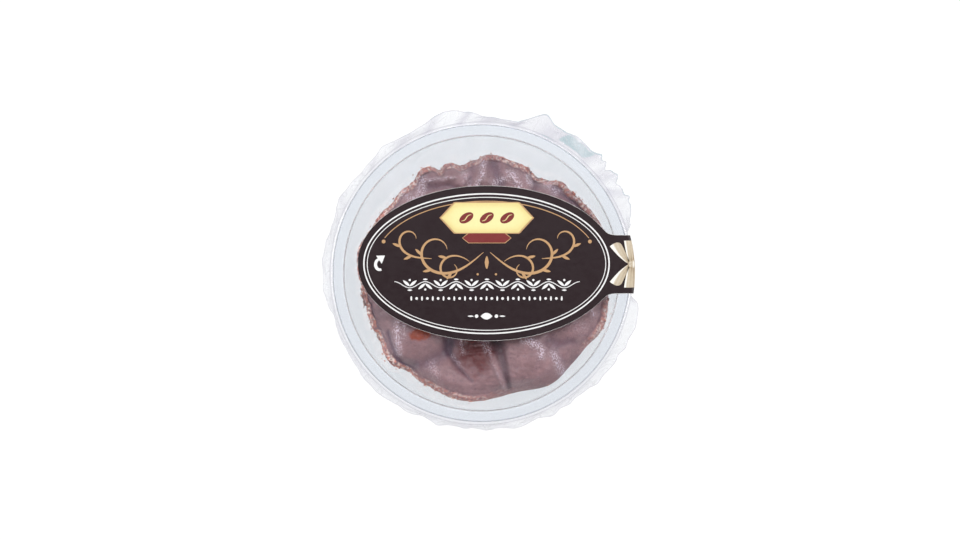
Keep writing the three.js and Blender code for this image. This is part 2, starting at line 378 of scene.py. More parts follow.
class NodeTree:
    """Short calls for building a node tree of a material, a group or the world."""

    def __init__(self, tree: bpy.types.NodeTree) -> None:
        """Keep the tree that the calls add to."""
        self.tree = tree

    def put(self, target: Socket, value: object) -> None:
        """Link a socket to the target, or set the target's own value."""
        if isinstance(value, Socket):
            self.tree.links.new(value, target)
        elif value is not None:
            target.default_value = (*value, 1.0) if target.type == "RGBA" and len(value) == 3 else value

    def fill(self, node: Node, inputs: dict[str, object]) -> None:
        """Fill a node's sockets by name."""
        for key, value in inputs.items():
            self.put(node.inputs[key], value)

    def add(self, kind: str, settings: dict[str, object] | None = None, **inputs: object) -> Node:
        """Add a node.

        Args:
            kind: Name of the node's class, after ShaderNode.
            settings: Properties of the node.
            **inputs: Sockets by name, an underscore standing for a space.

        Returns:
            The new node.
        """
        node = self.tree.nodes.new(f"ShaderNode{kind}")
        for key, value in (settings or {}).items():
            setattr(node, key, value)
        self.fill(node, {key.replace("_", " "): value for key, value in inputs.items()})
        return node

    def maths(self, operation: str, a: object, b: object, c: object = None, clamp: bool = False) -> Socket:
        """Return the result of a Math node on two or three values."""
        node = self.add("Math", {"operation": operation, "use_clamp": clamp})
        for target, value in zip(node.inputs, (a, b, c)):
            self.put(target, value)
        return node.outputs[0]

    def blend(self, share: object, a: object, b: object, how: str = "MIX") -> Socket:
        """Return the colour of a Mix node between two colours."""
        node = self.add("Mix", {"data_type": "RGBA", "blend_type": how})
        self.put(node.inputs[0], share)
        self.put(node.inputs[6], a)
        self.put(node.inputs[7], b)
        return node.outputs[2]

    def mixed(self, share: object, first: Node, second: Node) -> Node:
        """Return a Mix Shader node between two shaders."""
        node = self.add("MixShader", Fac=share)
        self.put(node.inputs[1], first.outputs[0])
        self.put(node.inputs[2], second.outputs[0])
        return node

    def ranged(
        self, value: object, low: float, high: float, to_low: float = 0.0, to_high: float = 1.0
    ) -> Socket:
        """Return a value carried from one range to another by an S-shaped ramp.

        Args:
            value: The value.
            low: Start of its range; it may lie above the end, for a ramp that falls.
            high: End of its range.
            to_low: Result at the start and before it.
            to_high: Result at the end and past it.

        Returns:
            The result's socket.
        """
        settings = {"interpolation_type": "SMOOTHSTEP"}
        inputs = {"Value": value, "From_Min": low, "From_Max": high, "To_Min": to_low, "To_Max": to_high}
        return self.add("MapRange", settings, **inputs).outputs[0]

    def noise(self, vector: object, scale: object, detail: float = 3.0) -> Socket:
        """Return the value of a Noise texture, features one metre over scale wide."""
        node = self.add("TexNoise", Vector=vector, Scale=scale, Detail=detail, Roughness=0.55)
        return node.outputs["Fac"]

    def cells(self, vector: object, scale: object) -> Node:
        """Return a Voronoi texture of round cells."""
        return self.add("TexVoronoi", Vector=vector, Scale=scale, Randomness=1.0)

    def place(self) -> Socket:
        """Return the place in the piece's own space."""
        return self.add("TexCoord").outputs["Object"]

    def value_of(self, name: str) -> Socket:
        """Return a named value of the mesh's points."""
        return self.add("Attribute", {"attribute_name": name}).outputs["Fac"]

    def bump(self, height: object, distance: float, strength: float = 1.0) -> Socket:
        """Return the normal of a Bump node, its distance in millimetres."""
        node = self.add("Bump", Strength=strength, Distance=distance * METRE, Height=height)
        return node.outputs["Normal"]


class SharedEffect(Enum):
    """Effects that several finishes use, each one node group built once."""

    MOTTLE = "soft_mottle"
    BUBBLES = "fine_bubbles"


class EffectShelf:
    """Builds each shared effect the first time a finish asks for it."""

    def __init__(self) -> None:
        """Start with no effect built."""
        self.built: dict[SharedEffect, bpy.types.NodeTree] = {}

    def place(self, nodes: NodeTree, effect: SharedEffect, **inputs: object) -> Node:
        """Put an effect into a material.

        Args:
            nodes: The material's tree.
            effect: Which effect.
            **inputs: The effect's sockets by name.

        Returns:
            The group node.
        """
        if effect not in self.built:
            makers = {SharedEffect.MOTTLE: self.mottle, SharedEffect.BUBBLES: self.bubbles}
            self.built[effect] = makers[effect](effect.value)
        return nodes.add("Group", {"node_tree": self.built[effect]}, **inputs)

    @staticmethod
    def shell(name: str, inputs: dict[str, str], outputs: dict[str, str]) -> tuple[NodeTree, Node, Node]:
        """Make an empty group with its sockets.

        Args:
            name: Name of the group.
            inputs: Socket types by input name.
            outputs: Socket types by output name.

        Returns:
            The tree, its input node and its output node.
        """
        group = bpy.data.node_groups.new(name, "ShaderNodeTree")
        for side, sockets in (("INPUT", inputs), ("OUTPUT", outputs)):
            for key, kind in sockets.items():
                group.interface.new_socket(key, in_out=side, socket_type=f"NodeSocket{kind}")
        return NodeTree(group), group.nodes.new("NodeGroupInput"), group.nodes.new("NodeGroupOutput")

    def mottle(self, name: str) -> bpy.types.NodeTree:
        """Build the mottle: a colour that wanders lighter and darker, and its height."""
        sockets = {"Colour": "Color", "Amount": "Float", "Scale": "Float"}
        nodes, source, result = self.shell(name, sockets, {"Colour": "Color", "Height": "Float"})
        wander = nodes.noise(nodes.place(), source.outputs["Scale"])
        lift = nodes.maths("MULTIPLY", nodes.maths("SUBTRACT", wander, 0.5), source.outputs["Amount"])
        change = nodes.maths("ADD", 1.0, lift)
        tint = nodes.add("CombineColor", Red=change, Green=change, Blue=change).outputs[0]
        colour = nodes.blend(1.0, source.outputs["Colour"], tint, "MULTIPLY")
        nodes.fill(result, {"Colour": colour, "Height": wander})
        return nodes.tree

    def bubbles(self, name: str) -> bpy.types.NodeTree:
        """Build the bubbles: round pits of two sizes, as a mask and a height."""
        sockets = {"Scale": "Float", "Share": "Float"}
        nodes, source, result = self.shell(name, sockets, {"Mask": "Float", "Height": "Float"})
        pits = []
        for fineness in (1.0, 2.3):
            scale = nodes.maths("MULTIPLY", source.outputs["Scale"], fineness)
            cells = nodes.cells(nodes.place(), scale)
            red = nodes.add("SeparateColor", Color=cells.outputs["Color"]).outputs[0]
            chosen = nodes.maths("LESS_THAN", red, source.outputs["Share"])
            round_pit = nodes.ranged(cells.outputs["Distance"], 0.42, 0.12)
            pits.append(nodes.maths("MULTIPLY", chosen, round_pit))
        mask = nodes.maths("MAXIMUM", pits[0], pits[1])
        nodes.fill(result, {"Mask": mask, "Height": nodes.maths("SUBTRACT", 1.0, mask)})
        return nodes.tree


@dataclass(frozen=True)
class Finish:
    """What every finish has: a name and a way to build its material."""

    name: str

    def start(self) -> tuple[Material, NodeTree, Node, Node]:
        """Make a material that holds a Principled shader.

        Returns:
            The material, its tree, its shader and its output.
        """
        material = bpy.data.materials.new(self.name)
        material.use_nodes = True
        material.node_tree.nodes.clear()
        nodes = NodeTree(material.node_tree)
        shader = nodes.add("BsdfPrincipled")
        output = nodes.add("OutputMaterial", Surface=shader.outputs[0])
        return material, nodes, shader, output

    def material(self, shelf: EffectShelf) -> Material:
        """Build the material; each finish has its own way."""
        raise NotImplementedError


@dataclass(frozen=True)
class ClearPlastic(Finish):
    """Thin glossy clear plastic with faint waves from the mould.

    The wall bends light as little as a thin sheet does, and its gloss is a coat.
    The value edge marks where the sheet stands upright: a greyer tint is painted there as shade for its dark
    edges, and it keeps little of its coat.
    """

    tint: Colour = (0.925, 0.965, 0.99)
    # Grey tint of the painted shade where the sheet stands upright.
    upright_painted_shade: Colour = (0.60, 0.62, 0.66)
    roughness: float = 0.02
    bend: float = 1.2
    coat_roughness: float = 0.03
    edge_coat: float = 0.05
    wave_scale: float = 90.0
    wave_height: float = 0.05

    def material(self, shelf: EffectShelf) -> Material:
        """Build clear plastic that lets lamps through to what it holds."""
        material, nodes, shader, output = self.start()
        wave = nodes.noise(nodes.place(), self.wave_scale, 2.0)
        edge = nodes.value_of("edge")
        inputs = {
            # Painted shade: the tint turns greyer where the sheet stands upright.
            "Base Color": nodes.blend(nodes.maths("POWER", edge, 2.0), self.tint, self.upright_painted_shade),
            "Roughness": self.roughness,
            "IOR": self.bend,
            "Transmission Weight": 1.0,
            "Coat Weight": nodes.ranged(edge, 0.0, 0.4, 1.0, self.edge_coat),
            "Coat Roughness": self.coat_roughness,
            "Normal": nodes.bump(wave, self.wave_height),
        }
        nodes.fill(shader, inputs)
        lamp = nodes.add("LightPath").outputs["Is Shadow Ray"]
        passing = nodes.add("BsdfTransparent", Color=self.tint)
        nodes.put(output.inputs["Surface"], nodes.mixed(lamp, shader, passing).outputs[0])
        return material


@dataclass(frozen=True)
class ClearFilm(Finish):
    """Thin clear film: it mirrors at a slant.

    The value haze makes it milky. Painted shade greys what is seen through it where the film is seen at a
    slant and where the value shade is set, and turns cooler where that value is strong. The value crinkle
    wrinkles it.
    """

    passed: Colour = (0.955, 0.96, 0.97)
    # Tints of painted shade: grey, and cooler where the shade is strongest.
    shaded_tint: Colour = (0.738, 0.728, 0.785)
    cool_tint: Colour = (0.68, 0.755, 0.785)
    milk: Colour = (0.86, 0.865, 0.88)
    roughness: float = 0.1
    milk_roughness: float = 0.35
    least_mirroring: float = 0.03
    mirroring: float = 0.7
    lit_behind: float = 0.55
    ripple_scale: float = 420.0
    crinkle_scale: float = 130.0
    crinkle_height: float = 5.0
    relief: float = 0.02

    def material(self, shelf: EffectShelf) -> Material:
        """Build a film that doesn't bend what is seen through it."""
        material, nodes, shader, output = self.start()
        place = nodes.place()
        ripple = nodes.noise(place, self.ripple_scale, 2.0)
        cells = nodes.cells(place, self.crinkle_scale)
        crinkle = nodes.maths("MULTIPLY", cells.outputs["Distance"], nodes.value_of("crinkle"))
        normal = nodes.bump(nodes.maths("MULTIPLY_ADD", crinkle, self.crinkle_height, ripple), self.relief)
        nodes.fill(shader, {"Base Color": self.milk, "Roughness": self.milk_roughness, "Normal": normal})
        mirror = nodes.add("BsdfGlossy", Roughness=self.roughness, Normal=normal)
        away = nodes.add("LayerWeight", Blend=0.5, Normal=normal).outputs["Facing"]
        # Painted shade: grey where the film is seen at a slant and where the value shade is set, turning
        # cooler where that value is strong.
        grey = nodes.maths("ADD", nodes.maths("POWER", away, 3.0), nodes.value_of("shade"), clamp=True)
        cooled = nodes.ranged(nodes.value_of("shade"), 0.55, 0.8)
        through = nodes.blend(grey, self.passed, nodes.blend(cooled, self.shaded_tint, self.cool_tint))
        passing = nodes.add("BsdfTransparent", Color=through)
        steep = nodes.maths("POWER", away, 5.0)
        slant = nodes.maths("MULTIPLY_ADD", steep, self.mirroring, self.least_mirroring)
        behind = nodes.add("BsdfTranslucent", Color=self.milk, Normal=normal)
        sheet = nodes.mixed(slant, passing, mirror)
        cloudy = nodes.mixed(self.lit_behind, shader, behind)
        milky = nodes.mixed(nodes.value_of("haze"), sheet, cloudy)
        nodes.put(output.inputs["Surface"], milky.outputs[0])
        return material


@dataclass(frozen=True)
class WhippedMousse(Finish):
    """Whipped chocolate: satin, full of fine bubbles, drier and redder at the edge.

    The values edge, spot, wet, deep, dark and gleam say where it is dry at the edge, stained orange or wet,
    where painted shade darkens a furrow, where a hollow's painted shadow falls and where a painted highlight
    lies along a crest.
    """

    body: Colour = (0.252, 0.142, 0.147)
    # Colour of the painted shade in furrows and bubble pits.
    recess_shade: Colour = (0.115, 0.062, 0.092)
    shadow: Colour = (0.078, 0.034, 0.044)
    wet: Colour = (0.118, 0.016, 0.015)
    dry: Colour = (0.62, 0.25, 0.19)
    # Pale patches on the dry edge: partly the dry smear's own colour, partly painted highlight on the crumbs.
    crust_and_highlight: Colour = (0.95, 0.76, 0.66)
    spot: Colour = (0.27, 0.045, 0.018)
    # Colour of the painted highlights.
    pale: Colour = (0.66, 0.55, 0.60)
    patch_lift: float = 1.22
    patch_scale: float = 160.0
    roughness: float = 0.36
    dry_roughness: float = 0.75
    grain_scale: float = 900.0
    grain_height: float = 2.6
    crust_highlight_scale: float = 760.0
    speck_scale: float = 2000.0
    bubble_scale: float = 750.0
    bubble_share: float = 0.32
    bubble_shade: float = 0.35
    mottle_scale: float = 620.0
    mottling: float = 0.5
    relief: float = 0.1

    def colour(self, nodes: NodeTree, place: Socket, edge: Socket) -> Socket:
        """Lay the colours over one another, from the body to the pale specks.

        Args:
            nodes: The material's tree.
            place: The place in the piece's own space.
            edge: How dry and crusted the mousse is.

        Returns:
            The colour before its bubbles and its mottle.
        """
        patches = nodes.ranged(nodes.noise(place, self.patch_scale), 0.35, 0.7)
        colour = nodes.blend(patches, self.body, tuple(c * self.patch_lift for c in self.body))
        for value, tone in (("wet", self.wet), ("recess_shade", self.recess_shade), ("dark", self.shadow)):
            colour = nodes.blend(nodes.value_of(value), colour, tone)
        # Pale patches in noise over the dry edge, partly painted highlight.
        crust_highlight_share = nodes.ranged(nodes.noise(place, self.crust_highlight_scale, 2.0), 0.46, 0.62)
        colour = nodes.blend(edge, colour, nodes.blend(crust_highlight_share, self.dry, self.crust_and_highlight))
        colour = nodes.blend(nodes.value_of("spot"), colour, self.spot)
        # Painted highlight: pale specks where the value gleam is set, along the crests.
        speck = nodes.ranged(nodes.noise(place, self.speck_scale, 1.0), 0.49, 0.6, 0.12, 1.2)
        gleam = nodes.maths("MULTIPLY", nodes.value_of("gleam"), speck, clamp=True)
        return nodes.blend(gleam, colour, self.pale)

    def material(self, shelf: EffectShelf) -> Material:
        """Build the mousse from its colours, its bubbles and its grain."""
        material, nodes, shader, _ = self.start()
        place = nodes.place()
        grain = nodes.noise(place, self.grain_scale, 4.0)
        grained = nodes.ranged(grain, 0.3, 0.6)
        edge = nodes.maths("MULTIPLY", nodes.value_of("edge"), grained, clamp=True)
        pits = shelf.place(nodes, SharedEffect.BUBBLES, Scale=self.bubble_scale, Share=self.bubble_share)
        # Painted shade in the bubble pits: the colour darkens towards the furrow shade.
        shade = nodes.maths("MULTIPLY", pits.outputs["Mask"], self.bubble_shade)
        colour = nodes.blend(shade, self.colour(nodes, place, edge), self.recess_shade)
        mottled = {"Colour": colour, "Amount": self.mottling, "Scale": self.mottle_scale}
        mottle = shelf.place(nodes, SharedEffect.MOTTLE, **mottled)
        grain = nodes.maths("MULTIPLY", grain, self.grain_height)
        height = nodes.maths("ADD", pits.outputs["Height"], grain)
        inputs = {
            "Base Color": mottle.outputs["Colour"],
            "Roughness": nodes.ranged(edge, 0.0, 1.0, self.roughness, self.dry_roughness),
            "Specular IOR Level": 0.4,
            "Subsurface Weight": 0.12,
            "Subsurface Radius": (0.8, 0.35, 0.2),
            "Subsurface Scale": 1.2 * METRE,
            "Normal": nodes.bump(height, self.relief, 0.8),
        }
        nodes.fill(shader, inputs)
        return material


@dataclass(frozen=True)
class PrintedInk(Finish):
    """Satin ink on paper: an even colour with a faint mottle from the press."""

    ink: Colour = (0.5, 0.5, 0.5)
    roughness: float = 0.4
    mottling: float = 0.12
    mottle_scale: float = 600.0
    tooth_scale: float = 2600.0
    tooth_height: float = 0.008

    def material(self, shelf: EffectShelf) -> Material:
        """Build the ink with its mottle and the paper's fine tooth."""
        material, nodes, shader, _ = self.start()
        mottled = {"Colour": self.ink, "Amount": self.mottling, "Scale": self.mottle_scale}
        mottle = shelf.place(nodes, SharedEffect.MOTTLE, **mottled)
        tooth = nodes.noise(nodes.place(), self.tooth_scale, 2.0)
        least, most = self.roughness - 0.04, self.roughness + 0.06
        inputs = {
            "Base Color": mottle.outputs["Colour"],
            "Roughness": nodes.ranged(mottle.outputs["Height"], 0.3, 0.7, least, most),
            "Specular IOR Level": 0.3,
            "Normal": nodes.bump(tooth, self.tooth_height, 0.5),
        }
        nodes.fill(shader, inputs)
        return material


@dataclass(frozen=True)
class ShadedInk(Finish):
    """Satin ink drawn with a shade: the value tone runs from shadow to light."""

    shadow: Colour = (0.24, 0.175, 0.105)
    middle: Colour = (0.42, 0.35, 0.255)
    light: Colour = (0.68, 0.66, 0.61)
    roughness: float = 0.38
    mottling: float = 0.3
    mottle_scale: float = 1500.0

    def material(self, shelf: EffectShelf) -> Material:
        """Build the ink from its three tones."""
        material, nodes, shader, _ = self.start()
        tone = nodes.value_of("tone")
        low = nodes.blend(nodes.ranged(tone, 0.0, 0.5), self.shadow, self.middle)
        colour = nodes.blend(nodes.ranged(tone, 0.5, 1.0), low, self.light)
        mottled = {"Colour": colour, "Amount": self.mottling, "Scale": self.mottle_scale}
        mottle = shelf.place(nodes, SharedEffect.MOTTLE, **mottled)
        least, most = self.roughness, self.roughness + 0.08
        inputs = {
            "Base Color": mottle.outputs["Colour"],
            "Roughness": nodes.ranged(mottle.outputs["Height"], 0.3, 0.7, least, most),
            "Specular IOR Level": 0.4,
        }
        nodes.fill(shader, inputs)
        return material


# ---------- clear pot


@dataclass
class Pot:
    """The clear pot: a round bowl, a flat sealing flange and a turned-down lip."""

    finish: Finish
    height: float = 45.5
    flange_outer: float = 55.5
    flange_inner: float = 51.5
    flange_thickness: float = 0.45
    lip_drop: float = 2.6
    lip_thickness: float = 0.36
    seal_step: float = 1.7
    wall_top: float = 51.3
    wall_foot: float = 24.6
    wall_thickness: float = 0.26
    wall_curve: float = 1.18
    floor_top: float = 1.8
    floor_sink: float = 0.2
    foot_ring: float = 3.0
    recess: float = 0.8
    recess_slope: float = 1.0
    centre_disc: float = 8.0
    # Share of the painted grey shade on the steep sealing step.
    step_painted_shade: float = 0.4
    around: int = 288
    wall_steps: int = 26

    @property
    def wall_rim(self) -> float:
        """Height at which the bowl's wall ends under the sealing step."""
        return self.height - self.seal_step

    @property
    def lip_inner(self) -> float:
        """Inner radius of the turned-down lip."""
        return self.flange_outer - self.lip_thickness

    def wall_radius(self, height: Array) -> Array:
        """Return the bowl's inner radius: foot to top by a power of the height's share."""
        share = np.clip((height - self.floor_top) / (self.wall_rim - self.floor_top), 0.0, None)
        return mix(self.wall_foot, self.wall_top, share ** (1.0 / self.wall_curve))

    def wall_height(self, radius: Array) -> Array:
        """Return the height at which the bowl's wall has an inner radius."""
        share = (radius - self.wall_foot) / (self.wall_top - self.wall_foot)
        return mix(self.floor_top, self.wall_rim, np.clip(share, 0.0, None) ** self.wall_curve)

    def section(self) -> Array:
        """Return radius and height of the half section, from under the base round to the floor."""
        top, under = self.height, self.height - self.flange_thickness
        foot, outer, wall = self.wall_foot, self.flange_outer, self.wall_thickness
        ring, slope = foot - self.foot_ring, self.recess_slope
        outside = np.linspace(self.floor_top + 1.2, under - 1.0, self.wall_steps)
        inside = np.linspace(self.wall_rim, self.floor_top + 0.05, self.wall_steps)
        outer_wall = self.wall_radius(outside - wall / 2.0) + wall
        floor = self.floor_top - self.floor_sink
        corners = [
            (0.0, 0.0, 0.0),
            (self.centre_disc, 0.0, 0.3),
            (self.centre_disc + slope, self.recess, 0.4),
            (ring, self.recess, 0.4),
            (ring + slope, 0.0, 0.5),
            (foot, 0.0, 0.9),
            *((r, z, 0.0) for r, z in zip(outer_wall, outside)),
            (self.flange_inner + wall, under, 0.5),
            (self.lip_inner, under, 0.3),
            (self.lip_inner, top - self.lip_drop, 0.2),
            (outer, top - self.lip_drop, 0.2),
            (outer, top, 0.5),
            (self.flange_inner, top, 0.5),
            (self.flange_inner, self.wall_rim + 0.1, 0.3),
            *((r, z, 0.0) for r, z in zip(self.wall_radius(inside), inside)),
            (foot - 1.4, floor, 1.0),
            (0.0, floor, 0.0),
        ]
        return eased_path(corners)

    def painted_edge_shade(self, section: Array) -> Array:
        """Return how upright and grey the sheet looks along a section.

        This grey is painted shade. The sealing step gets half of it where its run is steep, and the lip gets
        it all round.

        Args:
            section: Radius and height of points along the section.

        Returns:
            The value edge for each point.
        """
        run = np.abs(np.gradient(section, axis=0))
        upright = ramp(0.75, 0.97, run[:, 1] / np.hypot(run[:, 0], run[:, 1]))
        past_wall = ramp(self.wall_top - 0.2, self.wall_top + 0.1, section[:, 0])
        lip = ramp(self.lip_inner - 0.12, self.lip_inner, section[:, 0])
        return np.maximum(upright * (self.step_painted_shade * past_wall), lip)

    def build(self, shelf: EffectShelf) -> Piece:
        """Turn the section round the pot's axis and dress it."""
        section = self.section()
        azimuth = np.linspace(0.0, 360.0, self.around, endpoint=False)
        inner = section[1:-1]
        rings = polar(inner[:, :1], -azimuth[None], inner[:, 1:])
        poles = np.array([[0.0, 0.0, section[0, 1]], [0.0, 0.0, section[-1, 1]]])
        values = {"edge": np.repeat(self.painted_edge_shade(inner)[:, None], self.around, axis=1)}
        draft = ringed_body(rings, poles[0], poles[1], values)
        piece = draft.to_piece("clear_pot", self.finish.material(shelf))
        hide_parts("cup")
        return piece


# ---------- chocolate mousse


@dataclass(frozen=True)
class Fold:
    """A rounded mound of mousse: centre, half-axes, turn and rise above the level."""

    x: float
    y: float
    long: float
    wide: float
    turn: float
    rise: float

    def height(self, x: Array, y: Array, slope: float) -> Array:
        """Return the mound's height: a bowl turned over, its rise at the middle."""
        angle = np.radians(self.turn)
        along = (x - self.x) * np.cos(angle) + (y - self.y) * np.sin(angle)
        across = (y - self.y) * np.cos(angle) - (x - self.x) * np.sin(angle)
        reach = (along / self.long) ** 2 + (across / self.wide) ** 2
        return self.rise + slope * (1.0 - reach)


@dataclass(frozen=True)
class Lumps:
    """Layered noise over a plane: its height, the width of its lumps and its seed."""

    height: float
    width: float
    seed: int

    def at(self, x: Array, y: Array) -> Array:
        """Return the lumps' height at some places."""
        return self.height * layered_noise(x / self.width, y / self.width, self.seed)


@dataclass(frozen=True)
class Stain:
    """An oval stain on the mousse with a blotched border.

    Attributes:
        border: Share of the half-axes at which it starts.
        full: Share of them within which it is full.
        ragged: How strongly the blots shift its border.
    """

    x: float
    y: float
    long: float
    wide: float
    border: float
    full: float
    ragged: float

    def strength(self, x: Array, y: Array, blots: Array) -> Array:
        """Return how strong the stain is: a ramp over the distance from its middle."""
        reach = np.hypot((x - self.x) / self.long, (y - self.y) / self.wide)
        return ramp(self.border, self.full, reach + self.ragged * blots)


@dataclass(frozen=True)
class SpoonMark:
    """A furrow or a crest that the spoon left along a path.

    Attributes:
        width: Half-width at its start.
        depth: Depth at its start; a crest has a negative one.
        shade: How much painted shade darkens the mark, from 0 to 1.
        fade: Share of width and depth that is left at the mark's end.
        gleam: How strong the painted highlight along the mark is, from 0 to 1.
        dark: How much of a hollow's shadow it holds, from 0 to 1.
        power: Power of the bell curve; a high one gives a flat floor and steep sides.
    """

    path: tuple[Place, ...]
    width: float
    depth: float
    shade: float = 0.0
    fade: float = 0.55
    gleam: float = 0.0
    dark: float = 0.0
    power: float = 2.0

    def profile(self, x: Array, y: Array) -> tuple[Array, Array]:
        """Return a bell curve across the mark and the share of the way along it.

        The gap is the least of the distances to the straight spans of the path.

        Args:
            x: Places along X.
            y: Places along Y.

        Returns:
            The bell curve's height and the share along the path.
        """
        spans = list(zip(self.path, self.path[1:]))
        gap = np.full(np.broadcast(x, y).shape, 1e9)
        along = np.zeros(gap.shape)
        for number, (start, end) in enumerate(spans):
            run = np.subtract(end, start)
            held = np.clip(((x - start[0]) * run[0] + (y - start[1]) * run[1]) / run.dot(run), 0.0, 1.0)
            away = np.hypot(x - start[0] - held * run[0], y - start[1] - held * run[1])
            along = np.where(away < gap, (number + held) / len(spans), along)
            gap = np.minimum(gap, away)
        return bell(gap, self.width * mix(1.0, self.fade, along), self.power), along

    def cut(self, x: Array, y: Array) -> Array:
        """Return the depth of the mark."""
        curve, along = self.profile(x, y)
        return self.depth * mix(1.0, self.fade, along) * curve


